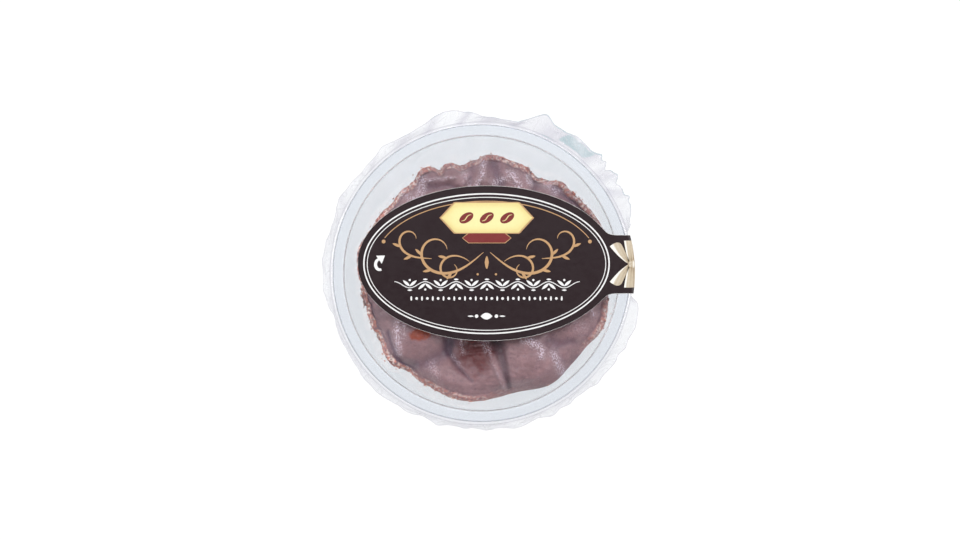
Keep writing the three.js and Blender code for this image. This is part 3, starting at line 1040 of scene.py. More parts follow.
@dataclass
class MousseFilling:
    """The chocolate mousse: spooned folds that lie against the pot's wall.

    Its shares are shares of the way from the middle to the wall.

    Attributes:
        level: Height of the folds' foot at the middle, and its tilt along Y.
        crust_start: Shares between which the dry crust sets in.
        seat_gap: How far past the outline the top meets the wall.
        wall_bite: How far the mousse reaches into the wall.
        unrolled_start: Radius that the floor has when the side is laid out flat.
        dry_stretches: Azimuth, half-width and dryness of each crumbly stretch.
    """

    pot: Pot
    finish: Finish
    outline_radius: float = 43.5
    raggedness: float = 0.4
    level: float = 32.3
    tilt: float = -0.085
    fold_slope: float = 3.4
    fold_blend: float = 1.1
    shoulder_start: float = 0.84
    bead_share: float = 0.972
    bead_width: float = 0.03
    bead_height: float = 0.8
    crease_share: float = 0.945
    crease_width: float = 0.011
    crease_depth: float = 0.5
    crust_start: tuple[float, float] = (0.948, 0.966)
    seat_gap: float = 0.3
    wall_bite: float = 0.07
    around: int = 540
    top_rings: int = 150
    ring_spacing: float = 1.35
    side_rings: int = 26
    unrolled_start: float = 30.0
    dry_stretches: tuple[Triple, ...] = ((185, 85, 1.0), (45, 45, 0.7), (-22, 14, 0.6))
    soft_lumps: Lumps = Lumps(0.42, 4.2, 3)
    fine_lumps: Lumps = Lumps(0.14, 1.1, 9)
    edge_lumps: Lumps = Lumps(0.75, 1.2, 5)
    edge_crumble: Lumps = Lumps(0.011, 1.3, 21)
    blots: Lumps = Lumps(0.25, 2.4, 27)
    broken_line: Lumps = Lumps(1.0, 5.0, 33)
    pressed_patches: Lumps = Lumps(1.0, 9.0, 45)
    air_pockets: Lumps = Lumps(1.0, 7.0, 47)
    orange_spot: Stain = Stain(-22.6, -23.0, 4.3, 2.3, 1.15, 0.75, 1.0)
    wet_patch: Stain = Stain(-1.5, -28, 8.0, 10.0, 1.3, 0.5, 1.2)
    outline: tuple[Bulge, ...] = bulges(
        (8, 26, 5.2), (32, 14, 1.1), (60, 8, -1.9), (85, 7, 1.2), (101, 6, -2.4), (119, 7, 1.0),
        (140, 5, -2.0), (172, 14, 3.3), (205, 14, 1.9), (224, 9, 3.4), (262, 26, 4.5), (304, 14, 4.9),
        (335, 11, 4.9),
    )
    outline_detail: tuple[Bulge, ...] = bulges(
        (48, 5, 1.5), (66, 5, 0.7), (92, 3, -0.9), (104.5, 3, 1.0), (112, 2.2, -1.9), (120, 3, 0.6),
        (128, 5, -0.9), (139, 5, 1.3), (190, 5, 0.6), (240, 4, 0.6), (320, 8, 1.9), (346, 6, 0.8),
    )
    folds: tuple[Fold, ...] = (
        Fold(-23.5, -22.5, 14, 11.5, 40, 5.4),
        Fold(-16, -38.5, 17, 8.5, -31, 3.0),
        Fold(-1, -37, 13, 7, 80, 0.6),
        Fold(18, -32, 17, 13, 25, 5.2),
        Fold(36, -16, 15, 10, 62, 5.4),
        Fold(36, 8, 19, 10, 100, 3.4),
        Fold(27, 26, 17, 9, 138, 3.2),
        Fold(8, 34, 15, 9, 160, 3.0),
        Fold(-14, 33, 15, 9, 20, 1.6),
        Fold(-33, 16, 17, 10, 60, 2.4),
        Fold(-34, -4, 14, 11, 95, 2.0),
        Fold(-6, 6, 24, 17, 15, 6.4),
        Fold(15, -8, 18, 12, -30, 5.4),
    )
    marks: tuple[SpoonMark, ...] = (
        SpoonMark(
            ((5.7, -22), (6.2, -26.5), (8.1, -33.5), (10.5, -42.8)), 3.4, 2.7, 0.3, 0.26, dark=0.85, power=3.0
        ),
        SpoonMark(((-13, -24), (-11.9, -30), (-8.4, -35.4), (-3.4, -40.6)), 1.9, 1.5, 0.6, 0.3, dark=0.1),
        SpoonMark(((-10.5, -25), (-15, -31), (-21, -34), (-27, -34.6)), 2.4, 1.0, 0.6, 0.8),
        SpoonMark(((-11.6, -25), (-12.4, -30)), 1.6, 0.3, 0.3, 0.8, dark=0.12),
        SpoonMark(((-28.9, -35.2), (-31.6, -31.5), (-33.6, -27), (-35, -22)), 1.2, 1.6, 0.8, 0.65),
        SpoonMark(((25.4, -25.4), (29, -26.6), (34, -25.5)), 2.3, 1.2, 0.58),
        SpoonMark(((27, -29), (31, -33)), 2.0, 0.6, 0.3),
        SpoonMark(((2.6, -25), (3.2, -31), (5.6, -37), (8.4, -43)), 0.8, -0.8, fade=0.8, gleam=0.3),
        SpoonMark(((-30.5, -17), (-31.8, -22), (-30.8, -30)), 1.8, -0.7, fade=0.7, gleam=0.85),
        SpoonMark(((-28.3, -19), (-28.6, -24)), 1.1, -0.3, fade=0.8, gleam=0.35),
        SpoonMark(((-10.8, -31), (-8.0, -34.4)), 0.8, -0.3, fade=0.8, gleam=0.35),
        SpoonMark(((-18.6, -34.4), (-16.8, -38.2)), 2.0, -0.2, fade=0.8, gleam=0.38),
        SpoonMark(((27, -30.2), (29.8, -36.4)), 1.5, -0.6, fade=1.0, gleam=0.8),
        SpoonMark(((-7.6, -25), (-6.9, -30)), 0.9, -0.6, fade=1.0, gleam=0.5),
        SpoonMark(((18.6, -25.6), (22.3, -28.0), (22.2, -31)), 1.7, -0.5, fade=0.8, gleam=0.85),
        SpoonMark(((15.5, -25.4), (19.2, -26.0)), 1.1, -0.3, fade=1.0, gleam=0.5),
        SpoonMark(((1.2, -25), (2.2, -28.8)), 1.2, -0.3, fade=1.0, gleam=0.6),
        SpoonMark(((40.6, -11), (41.8, -15.5)), 0.8, -0.3, fade=1.0, gleam=0.6),
        SpoonMark(((33.5, -17), (37, -20)), 3.0, -0.3, fade=1.0, gleam=0.22),
        SpoonMark(((0.8, 42.0), (0.6, 38), (-1.5, 33), (-2, 28)), 1.1, -1.2, fade=1.2, gleam=0.8),
        SpoonMark(((-6.4, 37.6), (-4.4, 33)), 1.8, -0.4, fade=0.9, gleam=0.4),
        SpoonMark(((-22.2, 35), (-22.6, 31), (-24, 27)), 1.8, -0.8, fade=0.9, gleam=0.8),
        SpoonMark(((-29.5, 30.0), (-26.0, 27.5)), 1.8, -0.4, fade=0.9, gleam=0.6),
        SpoonMark(((-20, 34.8), (-15, 35.7), (-10, 36)), 0.7, -0.6, fade=0.9, gleam=0.6),
        SpoonMark(((11.5, 37.4), (13.5, 34), (15.0, 31)), 1.7, -0.9, fade=0.9, gleam=0.75),
        SpoonMark(((4.6, 34.0), (9.0, 35.4)), 1.3, -0.3, fade=0.9, gleam=0.6),
        SpoonMark(((9.4, 38.2), (11, 37)), 0.9, -0.3, fade=0.9, gleam=0.4),
        SpoonMark(((17.2, 36.4), (18.4, 33.6)), 1.2, -0.3, fade=0.9, gleam=0.7),
        SpoonMark(((25.0, 33.4), (28.0, 30.6)), 1.8, -0.4, fade=0.9, gleam=0.65),
        SpoonMark(((-21, 32), (-12, 33), (-6, 30.5)), 1.9, 1.3, 0.55),
        SpoonMark(((-3.6, 41.5), (-4.2, 34)), 1.5, 1.2, 0.45, 0.8),
        SpoonMark(((4.5, 41), (7, 33)), 2.6, 1.2, 0.68, 0.8, dark=0.12),
        SpoonMark(((19.8, 38), (20.6, 33), (18, 28)), 1.8, 2.0, 0.55, 0.8, dark=0.25),
        SpoonMark(((28, 31.5), (33, 28), (38, 23)), 2.2, 1.4, 0.6, 0.8),
        SpoonMark(((-20, 38.4), (-18, 38.6)), 2.6, -1.3, fade=1.0),
        SpoonMark(((-13, 40.2), (-8.5, 40.4)), 1.7, -1.2, fade=1.0),
        SpoonMark(((1.5, 43.6), (5, 43.5)), 1.7, -1.2, fade=1.0),
        SpoonMark(((28, 34.6), (29.5, 34.0)), 1.4, -1.2, fade=1.0),
    )

    @property
    def floor(self) -> float:
        """Height of the mousse's underside, just inside the pot's floor."""
        return self.pot.floor_top - self.pot.floor_sink - self.wall_bite

    def contact(self, azimuth: Array) -> Array:
        """Return the radius of the outline at which the mousse nears the wall."""
        ragged = self.raggedness * layered_noise(azimuth * 0.5, azimuth * 0.0, 11, 2)
        smooth = self.outline_radius + bulges_at(self.outline + self.outline_detail, azimuth)
        return smooth + ragged * self.dryness(azimuth)

    def dryness(self, azimuth: Array) -> Array:
        """Return how crumbly the edge is, most of all on the left and at the back."""
        rows = self.dry_stretches
        stretches = (dry * bell(turn_between(azimuth, at), width, 4.0) for at, width, dry in rows)
        return np.clip(sum(stretches), 0.0, 1.0)

    def surface(self, x: Array, y: Array) -> Array:
        """Return the height of the folds: the largest mound at each place, less the marks.

        Soft and fine lumps lie over them, and ridges that the spoon drew out run
        side by side in the front valley.

        Args:
            x: Places along X.
            y: Places along Y.

        Returns:
            The height of the top before it dips to the wall.
        """
        rise = np.zeros(np.broadcast(x, y).shape)
        for fold in self.folds:
            rise = smooth_max(rise, fold.height(x, y, self.fold_slope), self.fold_blend)
        for mark in self.marks:
            rise = rise - mark.cut(x, y)
        bowed = (y + 0.02 * (x - 1.0) ** 2) / 1.1
        valley = ramp(-20.0, -26.0, y)
        drawn = 0.22 * layered_noise(x / 7.0, bowed, 51) * bell(x - 3.0, 16.0) * valley
        level = self.level + self.tilt * y
        return level + rise + self.soft_lumps.at(x, y) + self.fine_lumps.at(x, y) + drawn

    def marked(self, trait: str, x: Array, y: Array) -> Array:
        """Return the sum of one trait of the marks, each under its bell curve."""
        strengths = ((getattr(mark, trait), mark) for mark in self.marks)
        return sum(strength * mark.profile(x, y)[0] for strength, mark in strengths if strength > 0.0)

    def top_values(self, share: Array, azimuth: Array, x: Array, y: Array) -> dict[str, Array]:
        """Return where the mousse is dry at the edge, stained orange, wet, deep or pale.

        Args:
            share: Share of the way from the middle to the wall.
            azimuth: Azimuth of each place.
            x: Place along X.
            y: Place along Y.

        Returns:
            The values edge, spot, wet, deep, gleam and dark.
        """
        dry = self.dryness(azimuth)
        crumble = self.edge_crumble.at(x, y) + 0.012 * lattice_noise(x / 4.5, y / 4.5, 22)
        blots = self.blots.at(x, y)
        broken = ramp(-0.3, 0.5, self.broken_line.at(x, y))
        # A thin line of painted shade along the crease inside the bead.
        rim_line = bell(share - 0.947 + crumble, 0.007) * dry * broken
        return {
            "edge": ramp(*self.crust_start, share + crumble) * dry,
            "spot": self.orange_spot.strength(x, y, blots),
            "wet": self.wet_patch.strength(x, y, blots),
            # Painted shade in the furrows and along the rim line.
            "recess_shade": np.clip(self.marked("shade", x, y) + 0.6 * rim_line, 0.0, 1.0),
            # Painted highlights along the crests.
            "gleam": self.marked("gleam", x, y),
            "dark": self.marked("dark", x, y),
        }

    def top(self, azimuth: Array, on_wall: Array) -> tuple[Array, dict[str, Array]]:
        """Work out the top: the folds, with a shoulder that dips to the wall.

        The rings lie closer towards the wall. A raised bead with a crease inside it
        runs round the edge, and dry stretches of it are lumpy.

        Args:
            azimuth: Azimuth of each column.
            on_wall: Height at which each column meets the wall.

        Returns:
            The rings from the middle out, and their values.
        """
        reach = self.pot.wall_radius(on_wall) + self.wall_bite
        outward = np.arange(1, self.top_rings + 1)[:, None] / self.top_rings
        share = 1.0 - (1.0 - outward) ** self.ring_spacing
        flat = polar(share * reach, azimuth, 0.0)
        x, y = flat[..., 0], flat[..., 1]
        dry = self.dryness(azimuth)
        bead = self.bead_height * bell(share - self.bead_share, self.bead_width)
        bead = bead - self.crease_depth * dry * bell(share - self.crease_share, self.crease_width)
        lumps = self.edge_lumps.at(x, y) + 0.5 * lattice_noise(x / 2.6, y / 2.6, 6)
        rough = lumps * ramp(0.93, 0.975, share)
        shoulder = ramp(self.shoulder_start, 1.0, share) ** 2
        height = mix(self.surface(x, y), on_wall, shoulder)
        height += (bead + rough * dry) * ramp(1.0, 0.985, share)
        return np.stack([x, y, height], -1), self.top_values(share, azimuth, x, y)

    def side(self, azimuth: Array, on_wall: Array) -> tuple[Array, dict[str, Array]]:
        """Work out the side: it follows the pot's wall down to the floor.

        Its patches are laid out flat, as on a disc whose radius grows with height,
        so that they are as wide as they are high.

        Args:
            azimuth: Azimuth of each column.
            on_wall: Height at which each column leaves the top.

        Returns:
            The rings from the top down, and their values.
        """
        down = np.arange(1, self.side_rings + 1)[:, None] / self.side_rings
        height = mix(on_wall, self.floor, down)
        rings = polar(self.pot.wall_radius(height) + self.wall_bite, azimuth, height)
        started = ramp(0.0, 0.1, down)
        unrolled = polar(height + self.unrolled_start, azimuth, 0.0)
        u, v = unrolled[..., 0], unrolled[..., 1]
        still = np.zeros(rings.shape[:2])
        values = {
            "edge": 0.35 * ramp(0.12, 0.0, down) * self.dryness(azimuth),
            "spot": still,
            "wet": started * np.clip(0.78 + 0.6 * self.pressed_patches.at(u, v), 0.0, 1.0),
            "recess_shade": still,
            # Painted highlight: pale patches where air pockets would part the mousse from the wall.
            "gleam": 0.4 * started * ramp(0.15, 0.55, self.air_pockets.at(u, v)),
            "dark": still,
        }
        return rings, values

    def build(self, shelf: EffectShelf) -> Piece:
        """Build the filling from the middle of its top, out to the wall and down it."""
        azimuth = np.linspace(0.0, 360.0, self.around, endpoint=False)[None]
        on_wall = self.pot.wall_height(self.contact(azimuth) + self.seat_gap)
        top, top_values = self.top(azimuth, on_wall)
        side, side_values = self.side(azimuth, on_wall)
        values = {key: np.vstack([top_values[key], side_values[key]]) for key in top_values}
        centre = np.array([0.0, 0.0, float(self.surface(np.zeros(1), np.zeros(1))[0])])
        draft = ringed_body(np.vstack([top, side]), centre, np.array([0.0, 0.0, self.floor]), values)
        material = self.finish.material(shelf)
        piece = draft.to_piece("mousse_filling", material)
        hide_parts("mousse")
        crumbs = EdgeCrumbs(self).draft().to_piece("mousse_edge_crumbs", material)
        return piece


@dataclass
class EdgeCrumbs:
    """The crumbs on the mousse's dry edge, and the flecks that strayed onto the wall.

    Attributes:
        tries: How many crumbs are thrown round the edge; the dry stretches keep most.
        thinned_at: Middle of the stretch under the label's tip that keeps few.
        stretch: Stretch of a crumb outwards, along the rim and upwards.
    """

    filling: MousseFilling
    tries: int = 1500
    crowding: float = 0.9
    thinned_at: float = 172.0
    thinned_width: float = 16.0
    fleck_share: float = 0.05
    crumb_size: Place = (0.35, 0.85)
    fleck_size: Place = (0.12, 0.3)
    stretch: Triple = (0.8, 1.25, 0.75)
    unevenness: float = 0.16
    rise: float = 0.25
    wall_bite: float = 0.05
    rings: int = 5
    around: int = 8

    def ball(self) -> Array:
        """Return the points of a ball of radius 1: rings from the top down, then the poles."""
        turn = np.linspace(0.0, 360.0, self.around, endpoint=False)[None]
        tilt = np.linspace(0.0, np.pi, self.rings + 2)[1:-1, None]
        rings = polar(np.sin(tilt), turn, np.cos(tilt))
        return np.vstack([rings.reshape(-1, 3), [[0, 0, 1], [0, 0, -1]]])

    def draft(self) -> Draft:
        """Build the crumbs.

        Each is a small ball, stretched along the rim, made uneven by three waves
        and held inside the wall: no point lies farther out than the wall's radius
        at its height.

        Returns:
            All crumbs as one draft.
        """
        filling, pot = self.filling, self.filling.pot
        rng = np.random.default_rng(41)
        azimuth = rng.uniform(0.0, 360.0, self.tries)
        thinned = bell(turn_between(azimuth, self.thinned_at), self.thinned_width, 4.0)
        chance = self.crowding * filling.dryness(azimuth) ** 1.4 * (1.0 - 0.8 * thinned)
        azimuth = azimuth[rng.uniform(0.0, 1.0, self.tries) < chance]
        count = len(azimuth)
        fleck = rng.uniform(0.0, 1.0, count) < self.fleck_share
        strayed = np.abs(rng.normal(0.0, 0.5, count)) + 0.1
        settled = rng.normal(-0.85, 0.45, count)
        outline = filling.contact(azimuth)
        radius = outline + filling.seat_gap + np.where(fleck, strayed, settled)
        base = pot.wall_height(np.maximum(radius, outline))
        size = np.where(fleck, rng.uniform(*self.fleck_size, count), rng.uniform(*self.crumb_size, count))
        ball = self.ball()
        phase = rng.uniform(0.0, 6.28, (count, 3))
        swell = 1.0 + self.unevenness * np.sin(ball[None] * 4.0 + phase[:, None]).sum(-1)
        local = ball[None] * swell[..., None] * size[:, None, None] * np.array(self.stretch)
        angle = np.radians(azimuth)[:, None]
        reach = radius[:, None] + local[..., 0]
        z = (base + self.rise)[:, None] + local[..., 2]
        x = reach * np.cos(angle) - local[..., 1] * np.sin(angle)
        y = reach * np.sin(angle) + local[..., 1] * np.cos(angle)
        pull = np.minimum(1.0, (pot.wall_radius(z) + self.wall_bite) / np.hypot(x, y))
        points = np.stack([x * pull, y * pull, z], -1).reshape(-1, 3)
        start = np.arange(count)[:, None, None] * len(ball)
        quads = (grid_quads(self.rings, self.around, True)[None] + start).reshape(-1, 4)
        triangles = (pole_caps(self.rings, self.around)[None] + start).reshape(-1, 3)
        values = {key: np.zeros(len(points)) for key in ("spot", "wet", "recess_shade", "gleam", "dark")}
        values["edge"] = np.repeat(rng.uniform(0.65, 1.0, count), len(ball))
        return Draft(points, quads, triangles, values)


# ---------- sealing film


@dataclass
class SealingFilm:
    """The clear film: a flat disc sealed to the flange and a shrunk, pleated skirt.

    Attributes:
        rim_inset: How far inside the flange's border the film starts to bend down.
        tab_hold: Degrees from the tab between which the skirt comes free.
        crisp_at: Azimuth at which the skirt is most sharply crinkled.
        cool_patch_at: Azimuth of the skirt's darker, cooler patch of painted shade.
        sealed_band: Radii between which the film is welded to the flange.
        seam_radius: Radius of the milky line along the band's inner border.
    """

    pot: Pot
    finish: Finish
    thickness: float = 0.12
    lift: float = 0.4
    rim_inset: float = 0.3
    bend_radius: float = 1.3
    skirt_drop: float = 7.2
    skirt_radius: float = 58.3
    hem_wave: float = 0.9
    hem_waves: int = 7
    tab_azimuth: float = 3.4
    tab_hold: Place = (11.4, 14.6)
    held_radius: float = 56.8
    crisp_at: float = 48.0
    crisp_width: float = 42.0
    # Place and strength of the darker, cooler patch of painted shade.
    cool_patch_at: float = 55.0
    cool_patch_shade: float = 0.75
    tents: int = 64
    facet_width: float = 3.6
    facet_height: float = 0.75
    sealed_band: Place = (51.6, 55.4)
    sealed_haze: float = 0.1
    sealed_shade: float = 0.17
    seam_radius: float = 51.15
    seam_width: float = 0.42
    seam_haze: float = 0.24
    least_haze: float = 0.008
    least_shade: float = -0.4
    around: int = 900
    bend_rows: int = 7
    skirt_rows: int = 28
    disc_radii: tuple[float, ...] = (2, 20, 40, 50, 50.6, 50.9, 51.2, 51.6, 51.9, 52.4, 53.5, 54.7, 55.0)
    skirt: tuple[Bulge, ...] = bulges(
        (25, 5, 3.6), (36, 6, 3.7), (46, 5, 3.9), (56, 6, 4.3), (68, 6, 5.2), (27.6, 0.9, 1.3),
        (25.8, 0.8, -0.6), (33.6, 0.8, -1.1), (36.0, 1.0, 0.9), (39.8, 0.8, -1.3), (41.8, 0.9, 1.1),
        (44.6, 0.9, 0.8), (48.6, 1.6, -0.5), (102, 10, 3.9), (127, 10, 1.3), (150, 9, 1.5), (175, 13, 1.4),
        (127.5, 3, 0.8), (152, 2.5, 0.6), (175, 2.5, 0.5), (187, 4, 0.7), (196.5, 3, -0.8), (227, 12, 1.0),
        (241.5, 2.5, 0.5), (247, 2, -0.6), (254, 2.5, 0.9), (263.5, 2.2, 0.6), (272.5, 2.5, 0.7),
        (283, 4.5, 1.5), (296.5, 3, 1.5), (303.5, 2, 0.9), (322, 12, 1.4), (316.5, 2.5, 0.8),
        (326, 2.2, 0.5), (332.3, 2.2, 1.3), (341, 9, 2.4), (347, 4, 0.7),
    )
    # Grey panels of painted shade on the skirt, by azimuth.
    grey_panels: tuple[Bulge, ...] = bulges(
        (30.5, 1.8, 0.38), (34, 1.3, -0.15), (37.3, 1.9, 0.4), (42.8, 1.3, -0.15), (46.8, 1.8, 0.35),
        (62.5, 4, 0.4), (75.5, 2, 0.42), (86.5, 3.5, 0.3), (96.5, 2, 0.5), (108.5, 2.5, 0.42),
        (120, 3.5, 0.35), (135, 2, 0.2), (152, 2.5, 0.2),
    )

    @property
    def top(self) -> float:
        """Height of the film's upper face."""
        return self.pot.height + self.lift

    @property
    def bend_start(self) -> float:
        """Radius at which the film starts to bend down over the rim."""
        return self.pot.flange_outer - self.rim_inset

    def free_share(self, azimuth: Array) -> Array:
        """Return 1 where the skirt hangs free and 0 where the label's tab holds it."""
        return ramp(*self.tab_hold, np.abs(turn_between(azimuth, self.tab_azimuth)))

    def crispness(self, azimuth: Array) -> Array:
        """Return how sharply the skirt is crinkled, most of all at the back right."""
        return 0.35 + 0.65 * bell(turn_between(azimuth, self.crisp_at), self.crisp_width)

    def pleats(self, azimuth: Array, down: Array) -> Array:
        """Return the pleats' reach: tents of uneven width and creased facets.

        A tent falls evenly to both sides of its middle line, and both kinds grow
        from nothing at the rim to their full height at the hem.

        Args:
            azimuth: Azimuth of each place.
            down: Share of the way from the rim to the hem.

        Returns:
            How far each place stands out.
        """
        rng = np.random.default_rng(17)
        centres = np.cumsum(rng.uniform(3.2, 8.5, self.tents)) % 360.0
        widths = rng.uniform(1.3, 3.4, self.tents)
        heights = rng.uniform(-0.75, 0.75, self.tents)
        slants = rng.uniform(-2.0, 2.0, self.tents)
        total = np.zeros(np.broadcast(azimuth, down).shape)
        for centre, width, height, slant in zip(centres, widths, heights, slants):
            gap = np.abs(turn_between(azimuth + slant * down, centre))
            total += height * np.clip(1.0 - gap / width, 0.0, 1.0)
        warp = 0.7 * lattice_noise(azimuth / 9.0, down * 1.5, 23, 40)
        cells = round(360.0 / self.facet_width)
        facets = creased_noise(azimuth / self.facet_width + warp, down * 2.4 + 0.6 * warp, 29, cells)
        return (total + self.facet_height * facets) * down**0.7 * self.crispness(azimuth)

    def outer_face(self, azimuth: Array) -> Array:
        """Work out the outer face: the flat disc, the bend over the rim and the skirt.

        The skirt runs from the bend to the hem, whose radius has the scallops and
        whose height has a slow wave. The hem hangs higher where it stands out.

        Args:
            azimuth: Azimuth of each column.

        Returns:
            The rings from the middle out and down.
        """
        free = self.free_share(azimuth)
        hem = mix(self.held_radius, self.skirt_radius + bulges_at(self.skirt, azimuth), free)
        wave = self.hem_wave * np.sin(np.radians(azimuth * self.hem_waves + 30))
        drop = self.skirt_drop + (wave - 0.5 * (hem - self.skirt_radius)) * free
        disc = polar(np.array([*self.disc_radii, self.bend_start])[:, None], azimuth, self.top)
        turn = np.radians(np.linspace(12.0, 84.0, self.bend_rows))[:, None]
        foot = self.top - self.bend_radius
        bend_radius = self.bend_start + self.bend_radius * np.sin(turn)
        bend = polar(bend_radius, azimuth, foot + self.bend_radius * np.cos(turn))
        down = np.linspace(0.0, 1.0, self.skirt_rows)[:, None]
        start = self.bend_start + self.bend_radius
        crease = self.pleats(azimuth, down) * free
        skirt_radius = np.maximum(mix(start, hem, down**1.15) + crease, start)
        skirt = polar(skirt_radius, azimuth, foot - drop * down + 0.35 * crease)
        return np.vstack([disc, bend, skirt])

    def looks(self, azimuth: Array, radius: Array) -> dict[str, Array]:
        """Work out where the outer face is milky, grey and crinkled.

        The welded band, the milky line inside it and the creases carry the haze. The shade is painted: grey
        panels, a darker and cooler patch, mottled facets, a greyer band, bend and hem, and a lighter wash
        where the skirt is least crinkled.

        Args:
            azimuth: Azimuth of each column.
            radius: Radius of each place, by ring and column.

        Returns:
            The values haze, shade and crinkle.
        """
        level = len(radius) - self.skirt_rows
        below = np.vstack([np.zeros((level, 1)), np.linspace(0.0, 1.0, self.skirt_rows)[:, None]])
        bending = np.linspace(0.5, 1.0, self.bend_rows)
        flat = np.zeros(level - self.bend_rows)
        hanging = np.concatenate([flat, bending, np.ones(self.skirt_rows)])[:, None]
        crisp = self.crispness(azimuth)
        inner, outer = self.sealed_band
        sealed = ramp(inner, inner + 0.4, radius) * ramp(outer, outer - 0.5, radius)
        seam = bell(radius - self.seam_radius, self.seam_width) * (hanging == 0.0)
        warp = 2.0 * lattice_noise(azimuth / 14.0, below * 1.2, 39, 26)
        facets = creased_noise(azimuth / 5.0 + 0.4 * warp, below * 1.5 + 0.3 * warp, 37, 72)
        cloud = np.clip(0.5 + 0.9 * facets, 0.0, 1.0)
        streak = 0.5 + 0.5 * layered_noise(azimuth * 0.8, np.linspace(0, 3, len(radius))[:, None], 31)
        creases = creased_noise(azimuth / 2.4 + 0.5 * warp, below * 1.1 + 0.2 * warp, 43, 150)
        lines = ramp(0.16, 0.02, np.abs(creases)) * ramp(0.02, 0.2, below)
        clouded = 0.06 + 0.07 * streak + 0.14 * (1.0 - cloud) + 0.34 * lines * streak
        haze = self.least_haze + self.sealed_haze * sealed + self.seam_haze * seam
        haze = haze + hanging * (0.3 + 0.7 * crisp) * clouded
        # Painted shade: grey panels, a darker and cooler patch and mottled facets.
        leaning = azimuth + 3.0 * below
        cooled = ramp(7.0, 4.5, np.abs(turn_between(leaning, self.cool_patch_at)))
        cooled = cooled * ramp(0.1, 0.3, below) * ramp(1.0, 0.85, below)
        panel_shade = bulges_at(self.grey_panels, leaning + 0.7 * warp - 1.5)
        mottled = 0.2 * cloud * (0.2 + 0.8 * crisp)
        turned = ramp(self.bend_start, self.bend_start + 0.5, radius) * (below == 0.0)
        hem = ramp(0.94, 0.985, below) * (0.35 + 0.65 * crisp)
        shade = hanging * (0.02 + mottled + panel_shade + self.cool_patch_shade * cooled)
        # Painted light lightens the least crinkled skirt; painted shade greys the bend, the welded band and
        # the hem.
        shade = shade - 0.3 * hanging * (1.0 - crisp) + 0.25 * turned + self.sealed_shade * sealed + hem
        return {"haze": haze, "shade": np.clip(shade, self.least_shade, 1.0), "crinkle": hanging * crisp}

    def build(self, shelf: EffectShelf) -> Piece:
        """Build the film as a thin closed sheet, its outer face first."""
        azimuth = np.linspace(0.0, 360.0, self.around, endpoint=False)[None]
        outer = self.outer_face(azimuth)
        normal = np.cross(np.gradient(outer, axis=0), np.roll(outer, -1, 1) - np.roll(outer, 1, 1))
        normal /= np.linalg.norm(normal, axis=-1, keepdims=True)
        rings = np.vstack([outer, (outer - normal * self.thickness)[::-1]])
        looks = self.looks(azimuth, np.hypot(outer[..., 0], outer[..., 1]))
        values = {key: np.vstack([value, value[::-1]]) for key, value in looks.items()}
        poles = np.array([[0.0, 0.0, self.top], [0.0, 0.0, self.top - self.thickness]])
        draft = ringed_body(rings, poles[0], poles[1], values)
        piece = draft.to_piece("sealing_film", self.finish.material(shelf))
        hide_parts("lid_film")
        return piece


# ---------- label


